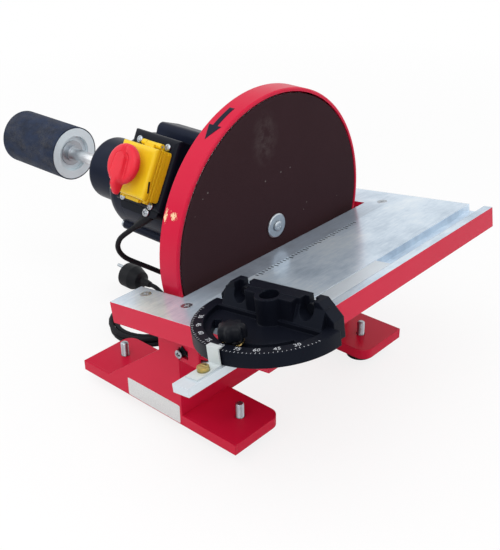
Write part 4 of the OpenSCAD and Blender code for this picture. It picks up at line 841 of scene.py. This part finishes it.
def makePaddle(look):
    # edge: a circle with a bell-shaped tab below; height: a flat dome, plus the ridge, less its groove
    angle = around(look["turns"])
    below = np.angle(np.exp(1j * (angle + np.pi / 2)))
    edge = look["radius"] + look["tab"] * np.exp(-(np.degrees(below) / look["tabHalf"]) ** 4)
    share = np.linspace(0, 1, look["rows"])[:, None]
    reach = share * edge
    x, y = reach * np.cos(angle), reach * np.sin(angle)
    drop = look["ridgeMiddle"] - y  # below the ridge's round top it widens steadily
    half = np.where(drop < 0, np.sqrt(np.clip(look["ridgeHalf"] ** 2 - drop ** 2, 0, None)),
                    look["ridgeHalf"] + look["flare"] * drop)
    inside = half - np.abs(x)
    ridge = look["ridge"] * smoothStep(inside / look["ridgeWall"] + look["ridgeStart"])
    ridge = ridge * smoothStep((y - look["ridgeEnd"]) / look["ridgeFade"])
    groove = look["groove"] * np.exp(-((inside + look["grooveAside"]) / look["grooveHalf"]) ** 2)
    groove = groove * smoothStep((y - look["grooveEnd"]) / look["grooveFade"])
    dome = look["thick"] * (1 - look["edgeFall"] * share ** look["edgePower"])
    relief = (ridge - groove) * (1 - look["reliefFall"] * share ** look["reliefPower"])
    top = polarGrid(reach, dome + relief, look["turns"])
    profile = [(edge * part, height) for part, height in look["rim"]]
    profile += [(look["stem"], 0.0), (look["stem"], -look["stemLength"]), (0.0, -look["stemLength"])]
    sides = [polarGrid(radius, height, look["turns"]) for radius, height in profile]
    grid = np.concatenate([top] + sides) * mm
    paddle = surface("stopPaddle", place(grid, paddleSeat(look), flankAxes), True, finishes["red"])
    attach(paddle, "stop_paddle")
    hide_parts("stop_paddle")


makePaddle(paddleLook)
print("paddle done")


# Lobed clamping knob with its brass rim, in millimetres

knobLook = {"radius": 13.4, "lobe": 1.1, "lobes": 7, "foot": 14.8, "top": 29.0, "collar": 9.4,
            "collarLow": 11.4, "rimRadius": 9.9, "rimLow": 9.8, "rimBevel": 0.4, "stud": 3.5, "studLow": -8.0,
            "turns": 112, "rimTurns": 64, "lobeFrom": 0.4, "lobeOver": 0.5,
            "profile": [(0.74, 0), (0.9, 0.02), (0.97, 0.07), (1, 0.16), (1, 0.5), (0.985, 0.66),
                        (0.95, 0.79), (0.88, 0.89), (0.76, 0.95), (0.6, 0.985), (0.42, 1), (0.2, 1), (0, 1)]}


def turned(profile, turns):
    # a list of radius and height, revolved
    profile = np.array(profile, float)
    return polarGrid(profile[:, :1], profile[:, 1:], turns)


def makeKnob(look):
    # lobed radius against angle, carried up a rounded profile from a plain collar
    wave = look["lobe"] * np.cos(look["lobes"] * around(look["turns"]))
    share, rise = np.split(np.array(look["profile"], float), 2, axis=1)
    lobed = share * (look["radius"] - look["lobe"])
    lobed = lobed + wave * smoothStep((share - look["lobeFrom"]) / look["lobeOver"])
    grip = polarGrid(lobed, look["foot"] + (look["top"] - look["foot"]) * rise, look["turns"])
    collar = [(0, look["collarLow"]), (look["collar"], look["collarLow"]), (look["collar"], look["foot"])]
    grid = np.concatenate([turned(collar, look["turns"]), grip]) * mm
    knob = surface("clampKnob", place(grid, knobAt, tableAxes), True, finishes["knobBlack"])
    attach(knob, "miter_knob")
    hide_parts("lock_knob")
    rim = [(0, look["studLow"]), (look["stud"], look["studLow"]), (look["stud"], look["rimLow"]),
           (look["rimRadius"] - look["rimBevel"], look["rimLow"]),
           (look["rimRadius"], look["rimLow"] + look["rimBevel"]),
           (look["rimRadius"], look["collarLow"]), (0, look["collarLow"])]
    ring = turned(rim, look["rimTurns"]) * mm
    insert = surface("knobInsert", place(ring, knobAt, tableAxes), True, finishes["brass"], smooth=False)
    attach(insert, "miter_knob")


makeKnob(knobLook)
print("knob done")


# Lid slit as painted shade, gauge scale, table ruler, turning arrow and bare base plate, in millimetres

tickSlack = 0.1  # takes in the last tick, and rounding in the count of long ones
boxSigns = np.array([(-1, -1, 0), (1, -1, 0), (1, 1, 0), (-1, 1, 0),
                     (-1, -1, 1), (1, -1, 1), (1, 1, 1), (-1, 1, 1)], float)
boxSides = np.array([(0, 3, 2, 1), (4, 5, 6, 7), (0, 1, 5, 4), (1, 2, 6, 5), (2, 3, 7, 6), (3, 0, 4, 7)])


def flatBoxes(places, halves, turns, low, high):
    # many thin upright boxes at once: corner signs times half sizes, turned in the plane
    places, halves, turns = (np.asarray(v, float) for v in (places, halves, turns))
    x = boxSigns[None, :, 0] * halves[:, None, 0]
    y = boxSigns[None, :, 1] * halves[:, None, 1]
    c, s = np.cos(turns)[:, None], np.sin(turns)[:, None]
    z = low + (high - low) * np.broadcast_to(boxSigns[None, :, 2], x.shape)
    points = np.stack([places[:, None, 0] + x * c - y * s, places[:, None, 1] + x * s + y * c, z], -1)
    faces = np.arange(len(places))[:, None, None] * len(boxSigns) + boxSides[None]
    return points.reshape(-1, 3), faces.reshape(-1, 4)


def textMesh(words, size, thick):
    # a flat number as mesh points and faces, centred
    curve = bpy.data.curves.new("number", "FONT")
    curve.body, curve.size, curve.extrude = words, size, thick / 2
    curve.align_x, curve.align_y = "CENTER", "CENTER"
    curve.resolution_u = 3
    holder = bpy.data.objects.new("number", curve)
    scene.collection.objects.link(holder)
    mesh = bpy.data.meshes.new_from_object(holder.evaluated_get(bpy.context.evaluated_depsgraph_get()))
    points, faces = meshPoints(mesh), [list(face.vertices) for face in mesh.polygons]
    bpy.data.objects.remove(holder)
    bpy.data.meshes.remove(mesh)
    return points, faces


slitLook = {"middle": (-2.6, 98.8), "half": (6.6, 1.2), "turn": 0.2, "sink": 0.3, "proud": 0.1}


def makeLidSlit(look):
    # painted shade of the vent slit: a dark flat box on the lid's side wall, up and out from the spindle in
    # the flank's frame
    side = -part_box("switch_lid")[0].y / mm
    points, faces = flatBoxes([look["middle"]], [look["half"]], [look["turn"]], side - look["sink"],
                              side + look["proud"])
    points = place(points * mm, spindle, flankAxes[[1, 2, 0]])
    slit = meshPiece("lidSlit", points, faces, finishes["navyInk"], smooth=False)
    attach(slit, "switch_lid")


scaleLook = {"numberRadius": 67.6, "numberSize": 6.8, "tickOut": 74.3, "longTick": 2.6, "shortTick": 1.6,
             "tickHalf": 0.22, "ticksTo": 75, "tickStep": 3, "longStep": 15, "surface": 14.4, "sink": 0.05,
             "proud": 0.12, "numbers": {0: "90", 15: "75", 30: "60", 45: "45", 60: "30"}}


def scaleTicks(look, low, high):
    # short lines towards the pivot, every few degrees
    degrees = np.arange(-look["ticksTo"], look["ticksTo"] + tickSlack, look["tickStep"])
    turn = np.radians(degrees)
    length = np.where(np.abs(degrees) % look["longStep"] < tickSlack, look["longTick"], look["shortTick"])
    middle = look["tickOut"] - length / 2
    places = np.stack([-middle * np.cos(turn), middle * np.sin(turn)], -1)
    halves = np.stack([length / 2, np.full(len(turn), look["tickHalf"])], -1)
    return flatBoxes(places, halves, -turn, low, high)


def makeGaugeScale(look):
    # ticks and numbers on circles about the pivot, each number upright towards it
    low, high = look["surface"] - look["sink"], look["surface"] + look["proud"]
    points, faces = scaleTicks(look, low, high)
    allPoints, allFaces = [points], faces.tolist()
    start = len(points)
    for step, words in look["numbers"].items():
        for side in ((1, -1) if step else (1,)):
            turn = math.radians(step) * side
            points, faces = textMesh(words, look["numberSize"], high - low)
            above = np.array([math.cos(turn), -math.sin(turn)])
            right = np.array([-math.sin(turn), -math.cos(turn)])
            flat = -look["numberRadius"] * above + points[:, :1] * right + points[:, 1:2] * above
            allPoints.append(np.c_[flat, points[:, 2] + (low + high) / 2])
            allFaces += [[start + i for i in face] for face in faces]
            start += len(points)
    points = place(np.concatenate(allPoints) * mm, gaugeAt, tableAxes)
    faces = np.array(allFaces, dtype=object)
    scale = meshPiece("gaugeScale", points, faces, finishes["whiteInk"], smooth=False)
    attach(scale, "miter_head")


rulerLook = {"from": -80.0, "to": 95.0, "step": 5.0, "longStep": 25, "depth": 102.5, "short": 4.2,
             "long": 6.5, "half": 0.8, "sink": 0.05, "proud": 0.1}


def makeRuler(look):
    # ticks side by side across the table, longer where the distance is a whole number of long steps
    across = np.arange(look["from"], look["to"] + tickSlack, look["step"])
    length = np.where(np.abs(across) % look["longStep"] < tickSlack, look["long"], look["short"])
    tableTop = gaugeAt - tableAxes[0] * gaugeAt[0]
    places = np.stack([across, look["depth"] - length / 2], -1)
    halves = np.stack([np.full(len(across), look["half"]), length / 2], -1)
    points, faces = flatBoxes(places, halves, np.zeros(len(across)), -look["sink"], look["proud"])
    points = place(points * mm, tableTop, tableAxes)
    ruler = meshPiece("tableRuler", points, faces, finishes["rulerInk"], smooth=False)
    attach(ruler, "table")


arrowLook = {"from": 109.5, "to": 127.0, "middle": 15.0, "shaft": 3.2, "head": 8.5, "headShare": 0.4,
             "proud": 0.12, "thickShare": 0.8, "rows": 14, "columns": 9, "step": 1e-4}


def makeArrow(look):
    # arrow wrapped on the guard's rim: half width is a function of the share along it
    low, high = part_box("disc_guard")
    radius = (high.x - low.x) / 2 + look["proud"] * mm
    neck = 1 - look["headShare"]
    ends = [(0, neck), (neck + look["step"], 1)]
    share = np.concatenate([np.linspace(*end, look["rows"]) for end in ends])[:, None]
    side = np.linspace(-1, 1, look["columns"])[None, :]
    half = np.where(share <= neck, look["shaft"], look["head"] * (1 - share) / look["headShare"]) * mm
    angle = np.radians(look["from"] + (look["to"] - look["from"]) * share) + 0 * side
    y = look["middle"] * mm + half * side
    grid = np.stack([spindle[0] + radius * np.cos(angle), y, spindle[2] + radius * np.sin(angle)], -1)
    arrow = surface("turnArrow", grid, False, finishes["navyInk"])
    thick = arrow.modifiers.new("thickness", "SOLIDIFY")
    thick.thickness, thick.offset = look["proud"] * mm * look["thickShare"], 0
    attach(arrow, "root")


plateLook = {"from": (7.0, 18.0), "size": (87.0, 24.0), "proud": 0.25, "turns": 96, "power": 24,
             "profile": [(0.0, 1.0), (0.97, 1.0), (1.0, 0.7), (1.0, -0.2)]}


def makePlate(look):
    # bare plate on the base: a rounded rectangle, as a superellipse of high power
    angle = around(look["turns"])
    outline = [np.sign(f) * np.abs(f) ** (2 / look["power"]) for f in (np.cos(angle), np.sin(angle))]
    share, lift = np.split(np.array(look["profile"]), 2, axis=1)
    y, z = (start + size / 2 * (1 + share * line)
            for start, size, line in zip(look["from"], look["size"], outline))
    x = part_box("left_side_plate")[0].x / mm - lift * look["proud"] + 0 * y
    plate = surface("barePlate", np.stack([x, y, z], -1) * mm, True, finishes["plate"])
    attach(plate, "root")


makeLidSlit(slitLook)
makeGaugeScale(scaleLook)
makeRuler(rulerLook)
makeArrow(arrowLook)
makePlate(plateLook)
print("scale, ruler, arrow and plate done")


# Floor, light and white surround

floorLook = {"half": 6.0, "paper": (0.9, 0.9, 0.9), "glow": 0.82, "whiteFrom": 0.6, "whiteOver": 1.2}
worldLook = {"strength": 0.56, "seen": 1.0}
lampLooks = {
    "key": {"at": (-0.9, -0.5, 1.7), "aim": (0, 0.05, 0.15), "size": 2.4, "power": 26},
    "fill": {"at": (1.3, -1.1, 1.0), "aim": (0, 0, 0.15), "size": 2.4, "power": 9},
    "rim": {"at": (-0.6, 1.5, 1.2), "aim": (0, 0.1, 0.2), "size": 2.0, "power": 8},
}


def makeFloor(look):
    # the camera sees a white glow mixed with shaded paper: more glow far away, so that no horizon shows
    half = look["half"]
    corners = [(-half, -half, 0), (half, -half, 0), (half, half, 0), (-half, half, 0)]
    skin = Finish("floorPaper", base_color=look["paper"], roughness=0.9, specular_ior_level=0.1)
    path = skin.add("ShaderNodeLightPath", {}, {}, "Is Camera Ray")
    glow = skin.add("ShaderNodeEmission", {}, {"Color": (1, 1, 1, 1), "Strength": 1.0})
    far = ((skin.length(skin.point) - look["whiteFrom"]) / look["whiteOver"]).clamped()
    share = path * (far * (1 - look["glow"]) + look["glow"])
    paper = Wire(skin, skin.shader.outputs[0])
    mixed = skin.add("ShaderNodeMixShader", {}, {0: share, 1: paper, 2: glow})
    skin.link(skin.tree.nodes["Material Output"].inputs[0], mixed)
    floor = meshPiece("floor", corners, [(0, 1, 2, 3)], skin.material)


def makeWorld(look):
    # plain light for the object, full white where the camera, a gloss or a clear piece looks straight at it
    world = bpy.data.worlds.new("surround")
    world.use_nodes = True
    scene.world = world
    sky = NodeTree(world.node_tree)
    camera, gloss, clear = (sky.add("ShaderNodeLightPath", {}, {}, ray)
                            for ray in ("Is Camera Ray", "Is Glossy Ray", "Is Transmission Ray"))
    seen = camera.maths("MAXIMUM", gloss).maths("MAXIMUM", clear)
    levels = {"Value": seen, "To Min": look["strength"], "To Max": look["seen"]}
    background = sky.tree.nodes["Background"]
    sky.link(background.inputs["Color"], (1, 1, 1, 1))
    sky.link(background.inputs["Strength"], sky.add("ShaderNodeMapRange", {}, levels))


def makeLamp(name, look):
    # a round soft lamp that looks from its place at a point
    light = bpy.data.lights.new(name, "AREA")
    light.shape, light.size, light.energy = "DISK", look["size"], look["power"]
    back = np.array(look["at"], float) - np.array(look["aim"], float)
    back /= np.linalg.norm(back)
    right = np.cross((0, 0, 1), back)
    right /= np.linalg.norm(right)
    aimed(name, light, right, np.cross(back, right), back, look["at"])


makeFloor(floorLook)
makeWorld(worldLook)
for name, look in lampLooks.items():
    makeLamp(name, look)
scene.view_settings.view_transform = "Standard"
print("floor and lights done")
